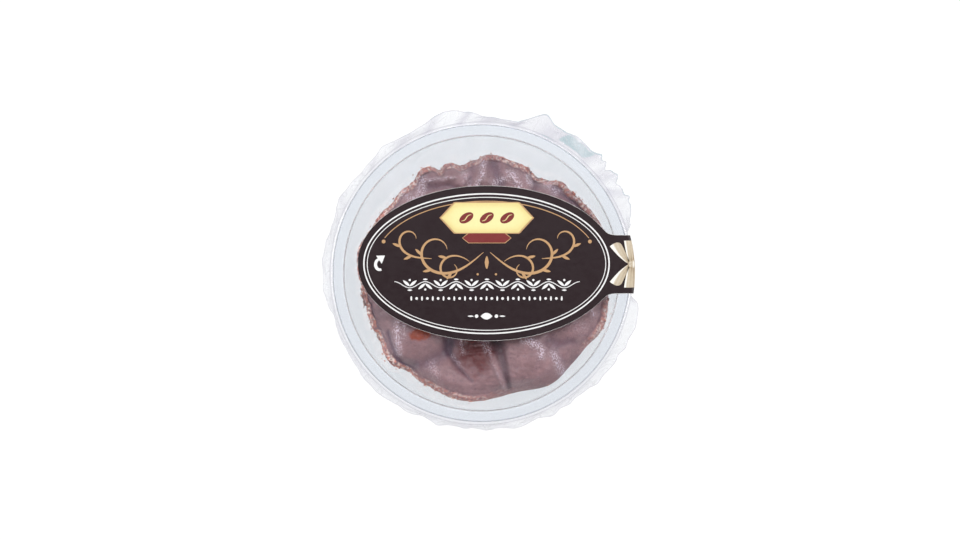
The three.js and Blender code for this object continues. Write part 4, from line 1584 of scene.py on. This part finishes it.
@dataclass
class LabelSheet:
    """The oval label with its pull tab, and the way its flat print is wrapped.

    Attributes:
        tab_blend: Places along X between which the tab's width comes in.
        centre_shift: Place along X from which the middle line moves to the tab's.
        fold_radius: Radius from the pot's axis at which the tab hangs down.
    """

    back: float = 46.0
    centre_x: float = 2.0
    centre_y: float = 3.7
    half_length: float = 48.05
    half_width: float = 28.9
    tab_half_width: float = 10.8
    tab_y: float = 3.3
    tab_blend: Place = (10.0, 30.0)
    tab_fillet: float = 2.2
    centre_shift: float = 38.0
    fold_radius: float = 57.1
    bend_radius: float = 1.1
    hang: float = 14.0
    pitch: float = 0.4
    oval_columns: int = 120
    rows: int = 25

    @property
    def right(self) -> float:
        """Right end of the oval along X."""
        return self.centre_x + self.half_length

    @property
    def flat_end(self) -> float:
        """Length along the sheet to the hanging end, at the tab's middle."""
        fold = np.sqrt(self.fold_radius**2 - self.tab_y**2) - self.bend_radius
        return float(fold + self.bend_radius * np.pi / 2 + self.hang)

    def half_width_at(self, x: Array) -> Array:
        """Return the label's half-width: the oval's chord, eased into the tab."""
        along = np.clip(np.abs(x - self.centre_x) / self.half_length, 0.0, 1.0)
        oval = self.half_width * np.sqrt(1.0 - along**2)
        share = ramp(*self.tab_blend, x)
        eased = smooth_max(oval, self.tab_half_width * share, self.tab_fillet)
        return np.where(share > 0.0, eased, oval)

    def centre_at(self, x: Array) -> Array:
        """Return the label's middle line across Y."""
        return mix(self.centre_y, self.tab_y, ramp(self.centre_shift, self.right, x))

    def wrap(self, flat: Array, lift: Array | float) -> Array:
        """Carry the flat print round the fold over the rim.

        Up to the fold the sheet is level. Past it the length goes round an arc
        and then straight down.

        Args:
            flat: Length along the sheet and place across it.
            lift: Height above the sheet's back.

        Returns:
            Points in space.
        """
        along, across = flat[..., 0], flat[..., 1]
        fold = np.sqrt(self.fold_radius**2 - across**2) - self.bend_radius
        past = np.clip(along - fold, 0.0, None)
        angle = np.clip(past / self.bend_radius, 0.0, np.pi / 2)
        fall = np.clip(past - self.bend_radius * np.pi / 2, 0.0, None)
        radius = self.bend_radius + lift
        x = np.minimum(along, fold) + radius * np.sin(angle)
        z = self.back - self.bend_radius + radius * np.cos(angle) - fall
        return np.stack([x, across, z], -1)

    def plate(
        self, flat: Array, low: float, high: float | Array, closed: bool = False, tone: Array | None = None
    ) -> Draft:
        """Make a thin closed plate from a grid of flat places.

        Args:
            flat: Places by row and column; rows run across, columns along.
            low: Height of the plate's underside above the sheet's back.
            high: Height of its face.
            closed: Whether the last column joins the first, as in a ring.
            tone: The value tone of each place, if the plate carries it.

        Returns:
            The plate, wrapped over the fold.
        """
        rows, columns = flat.shape[:2]
        down, along = np.gradient(flat, axis=0), np.gradient(flat, axis=1)
        if np.sum(down[..., 0] * along[..., 1] - down[..., 1] * along[..., 0]) < 0:
            flat = flat[::-1]
            tone = None if tone is None else tone[::-1]
        face, under = self.wrap(flat, high), self.wrap(flat, low)
        size = rows * columns
        top = grid_quads(rows, columns, closed)
        quads = [top, top[:, ::-1] + size]
        number = np.arange(size).reshape(rows, columns)
        if closed:
            borders = [np.append(number[0], number[0, 0]), np.append(number[-1], number[-1, 0])[::-1]]
        else:
            loop = [number[0], number[1:, -1], number[-1, -2::-1], number[-2:0:-1, 0], number[:1, 0]]
            borders = [np.concatenate(loop)]
        for border in borders:
            here, after = border[:-1], border[1:]
            quads.append(np.stack([here, after, after + size, here + size], -1))
        points = np.vstack([face.reshape(-1, 3), under.reshape(-1, 3)])
        values = {} if tone is None else {"tone": np.tile(tone.ravel(), 2)}
        return Draft(points, np.vstack(quads), values=values)

    def ground(self, inset: float, low: float, high: float) -> Draft:
        """Make a plate of the label's own outline, drawn in by an inset."""
        end = self.flat_end - inset
        half = self.half_length - inset
        oval = self.centre_x - half * np.cos(np.linspace(0.0, np.pi, self.oval_columns))
        tab = np.arange(self.right - inset + self.pitch, end, self.pitch)
        along = np.concatenate([oval[1:-1], tab, [end]])
        chord = np.maximum(self.half_width_at(along) - inset, 0.02)
        across = np.linspace(-1.0, 1.0, self.rows)[:, None]
        flat = np.stack(np.broadcast_arrays(along[None], self.centre_at(along) + across * chord), -1)
        return self.plate(flat, low, high)


@dataclass
class OrnamentPen:
    """Draws the label's ornaments as thin plates of ink."""

    sheet: LabelSheet
    low: float = 0.12
    high: float = 0.17

    def band(self, centre: Place, half: Place, width: float) -> Draft:
        """Draw an oval line.

        Args:
            centre: Middle of the oval.
            half: Half-axes of the line's middle.
            width: Width of the line.

        Returns:
            The line as a closed plate.
        """
        turn = np.linspace(0.0, 2 * np.pi, 240, endpoint=False)[None]
        off = np.array([-0.5, 0.5])[:, None] * width
        x = centre[0] + (half[0] + off) * np.cos(turn)
        y = centre[1] + (half[1] + off) * np.sin(turn)
        return self.sheet.plate(np.stack([x, y], -1), self.low, self.high, closed=True)

    def leaf(
        self, centre: Place, half: Place, power: float = 1.0, turn: float = 0.0, lift: float = 0.0
    ) -> Draft:
        """Draw a closed shape whose chord is a power of a half circle's.

        Args:
            centre: Middle of the shape.
            half: Half-length and half-width.
            power: 1 for an oval, 2 for a leaf with points.
            turn: Turn in degrees.
            lift: Extra height above the other ink.

        Returns:
            The shape as a closed plate.
        """
        place = -np.cos(np.linspace(0.04, np.pi - 0.04, 28))[None]
        chord = np.clip(1.0 - place**2, 0.0, 1.0) ** (power / 2.0)
        across = np.linspace(-1.0, 1.0, 5)[:, None] * chord
        along, side = np.broadcast_arrays(place * half[0], across * half[1])
        angle = np.radians(turn)
        x = centre[0] + along * np.cos(angle) - side * np.sin(angle)
        y = centre[1] + along * np.sin(angle) + side * np.cos(angle)
        return self.sheet.plate(np.stack([x, y], -1), self.low + lift, self.high + lift)

    def bar(
        self, centre: Place, half: Place, point: float, lift: float = 0.0, shaded: bool = False
    ) -> Draft:
        """Draw a long bar whose two ends come to a point.

        Args:
            centre: Middle of the bar.
            half: Half-length and half-width.
            point: Length of each pointed end.
            lift: Extra height above the other ink.
            shaded: Whether it carries a tone that falls off towards its border.

        Returns:
            The bar as a closed plate.
        """
        along = np.linspace(-half[0], half[0], 61)
        chord = half[1] * np.clip((half[0] - np.abs(along)) / point, 0.01, 1.0)
        side = np.linspace(-1.0, 1.0, 13)[:, None]
        flat = np.stack(np.broadcast_arrays(centre[0] + along[None], centre[1] + side * chord[None]), -1)
        fall = 0.55 * np.abs(side) ** 3 + 0.5 * np.abs(along[None] / half[0]) ** 4
        tone = np.clip(1.0 - fall, 0.0, 1.0) if shaded else None
        return self.sheet.plate(flat, self.low + lift, self.high + lift, tone=tone)

    def stroke(
        self, path: Array, width: float, lift: float = 0.0, thinnest: float = 0.14, power: float = 0.8
    ) -> Draft:
        """Draw a stroke that swells between two thin ends.

        The ink rises a little along the stroke, so that its crossings stay clean.

        Args:
            path: Places along the stroke.
            width: Width at its middle.
            lift: Extra height above the other ink.
            thinnest: Width at its ends.
            power: How fast it swells; small is fast.

        Returns:
            The stroke as a closed plate.
        """
        share = np.linspace(0.0, 1.0, len(path))
        swell = thinnest + (width - thinnest) * np.sin(np.pi * share) ** power
        along = np.gradient(path, axis=0)
        side = np.stack([-along[:, 1], along[:, 0]], -1)
        side /= np.linalg.norm(side, axis=1, keepdims=True)
        across = np.array([-0.5, 0.0, 0.5])[:, None, None]
        flat = path[None] + across * side[None] * swell[None, :, None]
        height = np.broadcast_to(self.high + lift + 0.01 * share, flat.shape[:2])
        return self.sheet.plate(flat, self.low, height)

    @staticmethod
    def scroll(start: Place, heading: float, length: float, bend: Place, count: int = 140) -> Array:
        """Work out a scroll: a line whose bend changes evenly along its length.

        Args:
            start: First place of the line.
            heading: Its first direction in degrees.
            length: Its length.
            bend: Degrees turned for each millimetre at its start and its end.
            count: Number of straight steps.

        Returns:
            Places along the scroll.
        """
        step = length / count
        turning = np.radians(np.linspace(bend[0], bend[1], count)) * step
        angle = np.radians(heading) + np.cumsum(turning)
        places = np.cumsum(np.stack([np.cos(angle), np.sin(angle)], -1) * step, axis=0)
        return np.vstack([[0.0, 0.0], places]) + np.array(start)


@dataclass(frozen=True)
class Ribbon:
    """One gathered ribbon of the bow, seen from the middle of its knot.

    Attributes:
        outer: Start, bend and end of its outer edge.
        inner: Start, bend and end of its inner edge.
        corner: Place that its end bulges towards.
    """

    outer: tuple[Place, Place, Place]
    inner: tuple[Place, Place, Place]
    corner: Place

    @staticmethod
    def edge(points: tuple[Place, Place, Place], share: Array) -> Array:
        """Return a curve of second degree through its start and end, drawn to its bend."""
        return drawn_curve(*(np.array(point) for point in points), share)

    def shape(self, share: Array, side: Array) -> Array:
        """Return the sheet between the two edges, which are curves of second degree.

        Args:
            share: Share of the way from the knot outwards.
            side: Share of the way from the outer edge to the inner one.

        Returns:
            Places from the middle of the knot.
        """
        outer, inner = self.edge(self.outer, share), self.edge(self.inner, share)
        ends = (self.outer[2], self.corner, self.inner[2])
        bulge = self.edge(ends, side) - mix(np.array(ends[0]), np.array(ends[2]), side)
        return mix(outer, inner, side) + bulge * share**3

    @staticmethod
    def tone(share: Array, side: Array) -> Array:
        """Return the light strip by the outer edge, the stripes and the shade at the knot."""
        light = bell(side - 0.12, 0.15) - 0.6 * bell(side - 0.97, 0.1)
        stripes = 0.13 * np.cos(2 * np.pi * (side * 2.4 - 0.1))
        return np.clip(0.5 + 0.5 * light + stripes - 0.4 * (1.0 - share) ** 3, 0.0, 1.0)[..., 0]


@dataclass
class OvalLabel:
    """The label: its paper, its dark ground, its ornaments and the bow on its tab.

    Attributes:
        rules: Shift, half-axes and width of each white oval line.
    """

    sheet: LabelSheet
    paper: Finish
    ground: Finish
    white: Finish
    gold: Finish
    yellow: Finish
    russet: Finish
    satin: Finish
    plaque: Finish
    rules: tuple[tuple[float, Place, float], ...] = (
        (-0.25, (45.65, 26.0), 0.52),
        (-0.3, (44.4, 24.75), 0.29),
    )
    vine_y: float = -4.3
    vine_pitch: float = 5.75
    bead_y: float = -9.4
    bead_pitch: float = 2.0
    finial_y: float = -16.0
    plaque_y: float = 20.6
    tag_y: float = 13.1
    bean_pitch: float = 7.6
    bean_turn: float = 32.0
    knot: Place = (2.1, 1.45)
    ribbons: tuple[Ribbon, ...] = (
        Ribbon(((-2.2, 0.3), (-5.4, 2.3), (-8.8, 6.6)), ((-1.5, 1.1), (-2.7, 4.0), (-4.2, 6.9)), (-5.5, 9.3)),
        Ribbon(((-1.9, 1.0), (-2.9, 4.5), (-3.5, 8.7)), ((0.0, 1.0), (0.0, 4.5), (0.0, 8.7)), (-1.8, 8.8)),
    )

    def ink(self, name: str, drafts: list[Draft], finish: Finish, shelf: EffectShelf) -> Piece:
        """Join some plates into one printed piece and dress it."""
        piece = Draft.joined(drafts).to_piece(name, finish.material(shelf), smooth=False)
        return piece

    def mirrored(self, path: Array) -> Array:
        """Return a path mirrored over the label's middle line."""
        return np.stack([2 * self.sheet.centre_x - path[:, 0], path[:, 1]], -1)

    def white_ink(self, pen: OrnamentPen) -> list[Draft]:
        """Draw the white work: two oval rules, the vine, the beads, the finial and the arrow."""
        x, y = self.sheet.centre_x - 0.1, self.sheet.centre_y + 0.1
        work = [pen.band((x, y + shift), half, width) for shift, half, width in self.rules]
        work += self.vine(pen, x + 0.2)
        for k in range(-14, 15):
            half = (0.5, 0.5) if k % 2 else (0.34, 0.85)
            work.append(pen.leaf((x + k * self.bead_pitch, self.bead_y), half))
        work.append(pen.leaf((x, self.finial_y), (2.2, 1.25), 2.0))
        for side in (-1, 1):
            work.append(pen.leaf((x + side * 3.7, self.finial_y), (0.65, 0.65)))
            work.append(pen.leaf((x + side * 5.9, self.finial_y), (1.1, 0.28), 1.5))
        work += self.peel_arrow(pen)
        return work

    def vine(self, pen: OrnamentPen, x: float) -> list[Draft]:
        """Draw a running vine: a waved stem with a leaf in each bend.

        The stem is a sine wave. A leaf springs from each crest towards the
        middle line, and a berry sits beyond it.

        Args:
            pen: The pen that draws it.
            x: Middle of the vine.

        Returns:
            The plates of the vine.
        """
        y, pitch = self.vine_y, self.vine_pitch
        along = np.linspace(-6 * pitch, 6 * pitch, 420)
        stem = np.stack([x + along, y + 1.15 * np.cos(along * np.pi / pitch)], -1)
        work = [pen.stroke(stem, 0.32, thinnest=0.24, power=0.3)]
        for k in range(-5, 6):
            side = 1.0 if k % 2 == 0 else -1.0
            at = x + k * pitch
            for lean in (-1, 1):
                centre = (at + lean * 1.25, y - side * 0.55)
                work.append(pen.leaf(centre, (1.75, 0.5), 1.8, -side * lean * 40.0, lift=0.01))
            work.append(pen.leaf((at, y - side * 1.75), (0.42, 0.42), lift=0.01))
            work.append(pen.leaf((at, y + side * 2.0), (0.9, 0.32), 1.8, lift=0.01))
        return work

    @staticmethod
    def peel_arrow(pen: OrnamentPen) -> list[Draft]:
        """Draw the curved arrow that shows where to peel: an arc and a three-cornered head."""
        turn = np.radians(np.linspace(95.0, 292.0, 40))
        arc = np.stack([-37.85 + 1.55 * np.cos(turn), 3.25 + 1.95 * np.sin(turn)], -1)
        head = np.linspace(0.0, 1.0, 6)[:, None]
        left, right, tip = np.array([-39.2, 6.5]), np.array([-37.1, 3.5]), np.array([-35.9, 6.6])
        wedge = np.stack([mix(left, tip, head), mix(right, tip + 0.02, head)])
        return [pen.stroke(arc, 1.15, thinnest=0.85), pen.sheet.plate(wedge, pen.low, pen.high + 0.015)]

    @staticmethod
    def sprigs(
        pen: OrnamentPen, path: Array, shares: tuple[float, ...], lean: float, length: float = 1.7
    ) -> list[Draft]:
        """Draw leaves that spring from a stroke.

        Args:
            pen: The pen that draws them.
            path: Places along the stroke.
            shares: Shares of the way along it at which a leaf springs.
            lean: Degrees between the stroke and the leaf.
            length: Half-length of a leaf.

        Returns:
            One plate for each leaf.
        """
        leaves = []
        for share in shares:
            at = int(share * (len(path) - 2)) + 1
            run = path[at] - path[at - 1]
            heading = np.degrees(np.arctan2(run[1], run[0])) + lean
            out = np.array([np.cos(np.radians(heading)), np.sin(np.radians(heading))])
            middle = path[at] + 0.92 * length * out
            leaves.append(pen.leaf((middle[0], middle[1]), (length, 0.3 * length), 1.7, heading, 0.07))
        return leaves

    def gold_ink(self, pen: OrnamentPen) -> list[Draft]:
        """Draw the gold work: a thin rule that arches over the top, and paired scrolls with leaves."""
        x, y = self.sheet.centre_x, self.sheet.centre_y
        turn = np.radians(np.linspace(24.0, 156.0, 160))
        arch = np.stack([x + 41.6 * np.cos(turn), y + 23.1 * np.sin(turn)], -1)
        work = [pen.stroke(arch, 0.34, thinnest=0.22, power=0.25)]
        for side in (-1, 1):
            work.append(pen.leaf((x + side * 38.4, y + 8.1), (0.7, 0.7)))
        strokes = [
            (pen.scroll((x + 1.2, 7.8), -40.0, 44.0, (-0.5, 14.2)), 1.05, (0.32, 0.5, 0.66), -40.0),
            (pen.scroll((x + 6.5, 4.4), 38.0, 26.0, (-4.0, -24.0)), 0.8, (0.35,), 42.0),
            (pen.scroll((x + 20.5, 5.4), 6.0, 25.0, (-2.0, 23.0)), 0.85, (0.3, 0.52), -42.0),
        ]
        for index, (path, width, shares, lean) in enumerate(strokes):
            for side, line in enumerate((path, self.mirrored(path))):
                work.append(pen.stroke(line, width, 0.01 * (2 * index + side)))
                work += self.sprigs(pen, line, shares, lean if side == 0 else -lean)
        for side in (-1, 1):
            work.append(pen.leaf((x + side * 3.4, -0.4), (0.42, 0.42)))
        work.append(pen.leaf((x, 4.0), (0.75, 2.4), 1.8))
        return work

    def bow(self, pen: OrnamentPen) -> list[Draft]:
        """Draw the satin bow, which lies half on the rim and half over the fold.

        Each ribbon stands at all four corners of the knot, mirrored over both of its
        middle lines. The knot is an oval whose tone is gathered in soft stripes.

        Args:
            pen: The pen that draws it.

        Returns:
            The plates of the ribbons and the knot.
        """
        middle = np.array([self.sheet.fold_radius - 0.5, self.sheet.tab_y + 0.1])
        share = np.linspace(0.0, 1.0, 24)[None, :, None]
        side = np.linspace(0.0, 1.0, 15)[:, None, None]
        plates = []
        for ribbon in self.ribbons:
            shape, tone = ribbon.shape(share, side), ribbon.tone(share, side)
            for mirror in ((1, 1), (1, -1), (-1, 1), (-1, -1)):
                flat = middle + shape * np.array(mirror)
                plates.append(self.sheet.plate(flat, pen.low, pen.high, tone=tone))
        turn = np.linspace(0.0, 2 * np.pi, 32, endpoint=False)
        rings = np.array([0.02, 0.4, 0.75, 1.0])[:, None]
        x = middle[0] + self.knot[0] * rings * np.cos(turn)
        y = middle[1] + self.knot[1] * rings * np.sin(turn)
        tone = np.clip(0.62 + 0.3 * np.cos(x * 5.0) - 0.35 * rings**4, 0.0, 1.0)
        knot = self.sheet.plate(np.stack([x, y], -1), pen.low, pen.high + 0.04, closed=True, tone=tone)
        return [*plates, knot]

    def beans(self, pen: OrnamentPen) -> tuple[list[Draft], list[Draft]]:
        """Draw three cocoa beans on the plaque: an oval each, with a waved seam over it.

        Args:
            pen: The pen that draws them.

        Returns:
            The ovals, and the seams.
        """
        places = [(self.sheet.centre_x + k * self.bean_pitch, self.plaque_y) for k in (-1, 0, 1)]
        ovals = [pen.leaf(place, (2.9, 1.7), turn=self.bean_turn, lift=0.08) for place in places]
        wave = 0.35 * np.sin(np.linspace(-np.pi, np.pi, 30))
        angle = np.radians(self.bean_turn)
        turned = np.array([[np.cos(angle), np.sin(angle)], [-np.sin(angle), np.cos(angle)]])
        seam = np.stack([np.linspace(-2.2, 2.2, 30), wave], -1) @ turned
        return ovals, [pen.stroke(seam + place, 0.34, 0.11, 0.12) for place in places]

    def build(self, shelf: EffectShelf) -> None:
        """Build the label from its paper upwards."""
        sheet = self.sheet
        pen = OrnamentPen(sheet)
        paper = sheet.ground(0.0, 0.0, 0.1).to_piece("label_paper", self.paper.material(shelf), smooth=False)
        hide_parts("label")
        plaque, tag = (sheet.centre_x, self.plaque_y), (sheet.centre_x, self.tag_y)
        rims = [pen.bar(plaque, (17.6, 5.9), 5.4, lift=0.02), pen.bar(tag, (9.2, 1.95), 2.3)]
        field_plate = pen.bar(plaque, (17.0, 5.55), 5.2, lift=0.05, shaded=True)
        beans, seams = self.beans(pen)
        self.ink("label_ground", [sheet.ground(0.07, 0.08, 0.13)], self.ground, shelf)
        self.ink("label_white_ink", self.white_ink(pen), self.white, shelf)
        self.ink("label_gold_ink", self.gold_ink(pen), self.gold, shelf)
        self.ink("label_plaque_rim", rims, self.gold, shelf)
        self.ink("label_plaque", [field_plate], self.plaque, shelf)
        self.ink("label_tag", [pen.bar(tag, (8.9, 1.72), 2.2, lift=0.03)], self.russet, shelf)
        self.ink("label_plaque_beans", beans, self.russet, shelf)
        self.ink("label_bean_seams", seams, self.yellow, shelf)
        self.ink("label_bow", self.bow(pen), self.satin, shelf)


# ---------- studio


@dataclass(frozen=True)
class SoftBox:
    """A square soft box: its name, its place and its side in metres, and its power."""

    name: str
    place: Triple
    size: float
    watts: float

    def hang(self, target: float) -> None:
        """Hang the box so that it faces a place on the pot's axis, its height in metres."""
        data = bpy.data.lights.new(self.name, "AREA")
        data.size, data.energy = self.size, self.watts
        lamp = in_scene(self.name, data)
        lamp.location = self.place
        x, y, z = self.place
        tilt = np.arctan2(np.hypot(x, y), z - target)
        lamp.rotation_euler = (0.0, float(tilt), float(np.arctan2(y, x)))


@dataclass
class Studio:
    """A pale floor, soft light and a camera that looks straight down.

    Attributes:
        stand_off: Height of the camera over the pot's rim.
        floor_glow: Strength of the floor's own light, which washes out shadows.
    """

    pot: Pot
    lens: float = 100.0
    stand_off: float = 993.3
    aim: Place = (-0.52, 1.19)
    floor_size: float = 9000.0
    floor_gap: float = 0.05
    floor_glow: float = 0.94
    room_light: float = 0.75
    room_colour: Colour = (0.93, 0.94, 0.96)
    overhead_colour: Colour = (0.12, 0.12, 0.13)
    soft_boxes: tuple[SoftBox, ...] = (
        SoftBox("key", (0.1, 0.62, 0.92), 0.85, 8.7),
        SoftBox("left", (-0.8, 0.1, 0.62), 0.58, 5.2),
        SoftBox("right", (0.8, 0.0, 0.62), 0.58, 5.2),
    )

    def floor(self) -> None:
        """Lay a pale floor just under the pot, bright enough to wash out shadows."""
        half, low = self.floor_size / 2.0, -self.floor_gap
        corners = np.array([[-half, -half, low], [half, -half, low], [half, half, low], [-half, half, low]])
        finish = bpy.data.materials.new("pale_floor")
        finish.use_nodes = True
        inputs = {
            "Base Color": (0.09, 0.09, 0.09),
            "Roughness": 0.9,
            "Specular IOR Level": 0.1,
            "Emission Color": (1.0, 1.0, 1.0),
            "Emission Strength": self.floor_glow,
        }
        NodeTree(finish.node_tree).fill(finish.node_tree.nodes["Principled BSDF"], inputs)
        mesh = bpy.data.meshes.new("floor")
        mesh.from_pydata((corners * METRE).tolist(), [], [(0, 1, 2, 3)])
        mesh.materials.append(finish)
        floor = in_scene("floor", mesh)

    def surroundings(self) -> None:
        """Light the room: bright all round and darker straight overhead."""
        world = bpy.data.worlds.new("studio")
        bpy.context.scene.world = world
        world.use_nodes = True
        world.node_tree.nodes.clear()
        nodes = NodeTree(world.node_tree)
        direction = nodes.add("TexCoord").outputs["Generated"]
        up = nodes.add("SeparateXYZ", Vector=direction).outputs[2]
        overhead = nodes.ranged(up, 0.66, 0.97)
        colour = nodes.blend(overhead, self.room_colour, self.overhead_colour)
        background = nodes.add("Background", Color=colour, Strength=self.room_light)
        nodes.add("OutputWorld", Surface=background.outputs[0])

    def camera(self) -> None:
        """Hang the camera over the pot, its distance counted from the rim."""
        data = bpy.data.cameras.new("camera")
        data.lens, data.sensor_width = self.lens, 36.0
        data.clip_start, data.clip_end = 0.01, 20.0
        camera = in_scene("camera", data)
        height = self.pot.height + self.stand_off
        camera.location = (self.aim[0] * METRE, self.aim[1] * METRE, height * METRE)
        bpy.context.scene.camera = camera

    def build(self) -> None:
        """Set up floor, lamps, surroundings and camera."""
        self.floor()
        for box in self.soft_boxes:
            box.hang(30.0 * METRE)
        self.surroundings()
        self.camera()
        bpy.context.scene.view_settings.view_transform = "Standard"


# ---------- main


def main() -> None:
    """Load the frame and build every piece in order."""
    logging.basicConfig(level=logging.INFO, format="%(name)s: %(message)s")
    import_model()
    shelf = EffectShelf()
    pot = Pot(ClearPlastic("clear_plastic"))
    pot.build(shelf)
    MousseFilling(pot, WhippedMousse("whipped_mousse")).build(shelf)
    SealingFilm(pot, ClearFilm("clear_film")).build(shelf)
    label = OvalLabel(
        sheet=LabelSheet(),
        paper=PrintedInk("label_paper", (0.83, 0.81, 0.78), 0.6),
        ground=PrintedInk("dark_ink", (0.012, 0.0042, 0.006), 0.42),
        white=PrintedInk("white_ink", (0.64, 0.635, 0.63), 0.45),
        gold=PrintedInk("gold_ink", (0.40, 0.24, 0.12), 0.36),
        yellow=PrintedInk("yellow_ink", (0.62, 0.55, 0.25), 0.42),
        russet=PrintedInk("russet_ink", (0.15, 0.02, 0.02), 0.42),
        satin=ShadedInk("satin_ink"),
        plaque=ShadedInk(
            "plaque_ink", (0.42, 0.32, 0.12), (0.60, 0.50, 0.21), (0.66, 0.60, 0.29), 0.42, 0.12
        ),
    )
    label.build(shelf)
    Studio(pot).build()


if __name__ == "__main__":
    main()
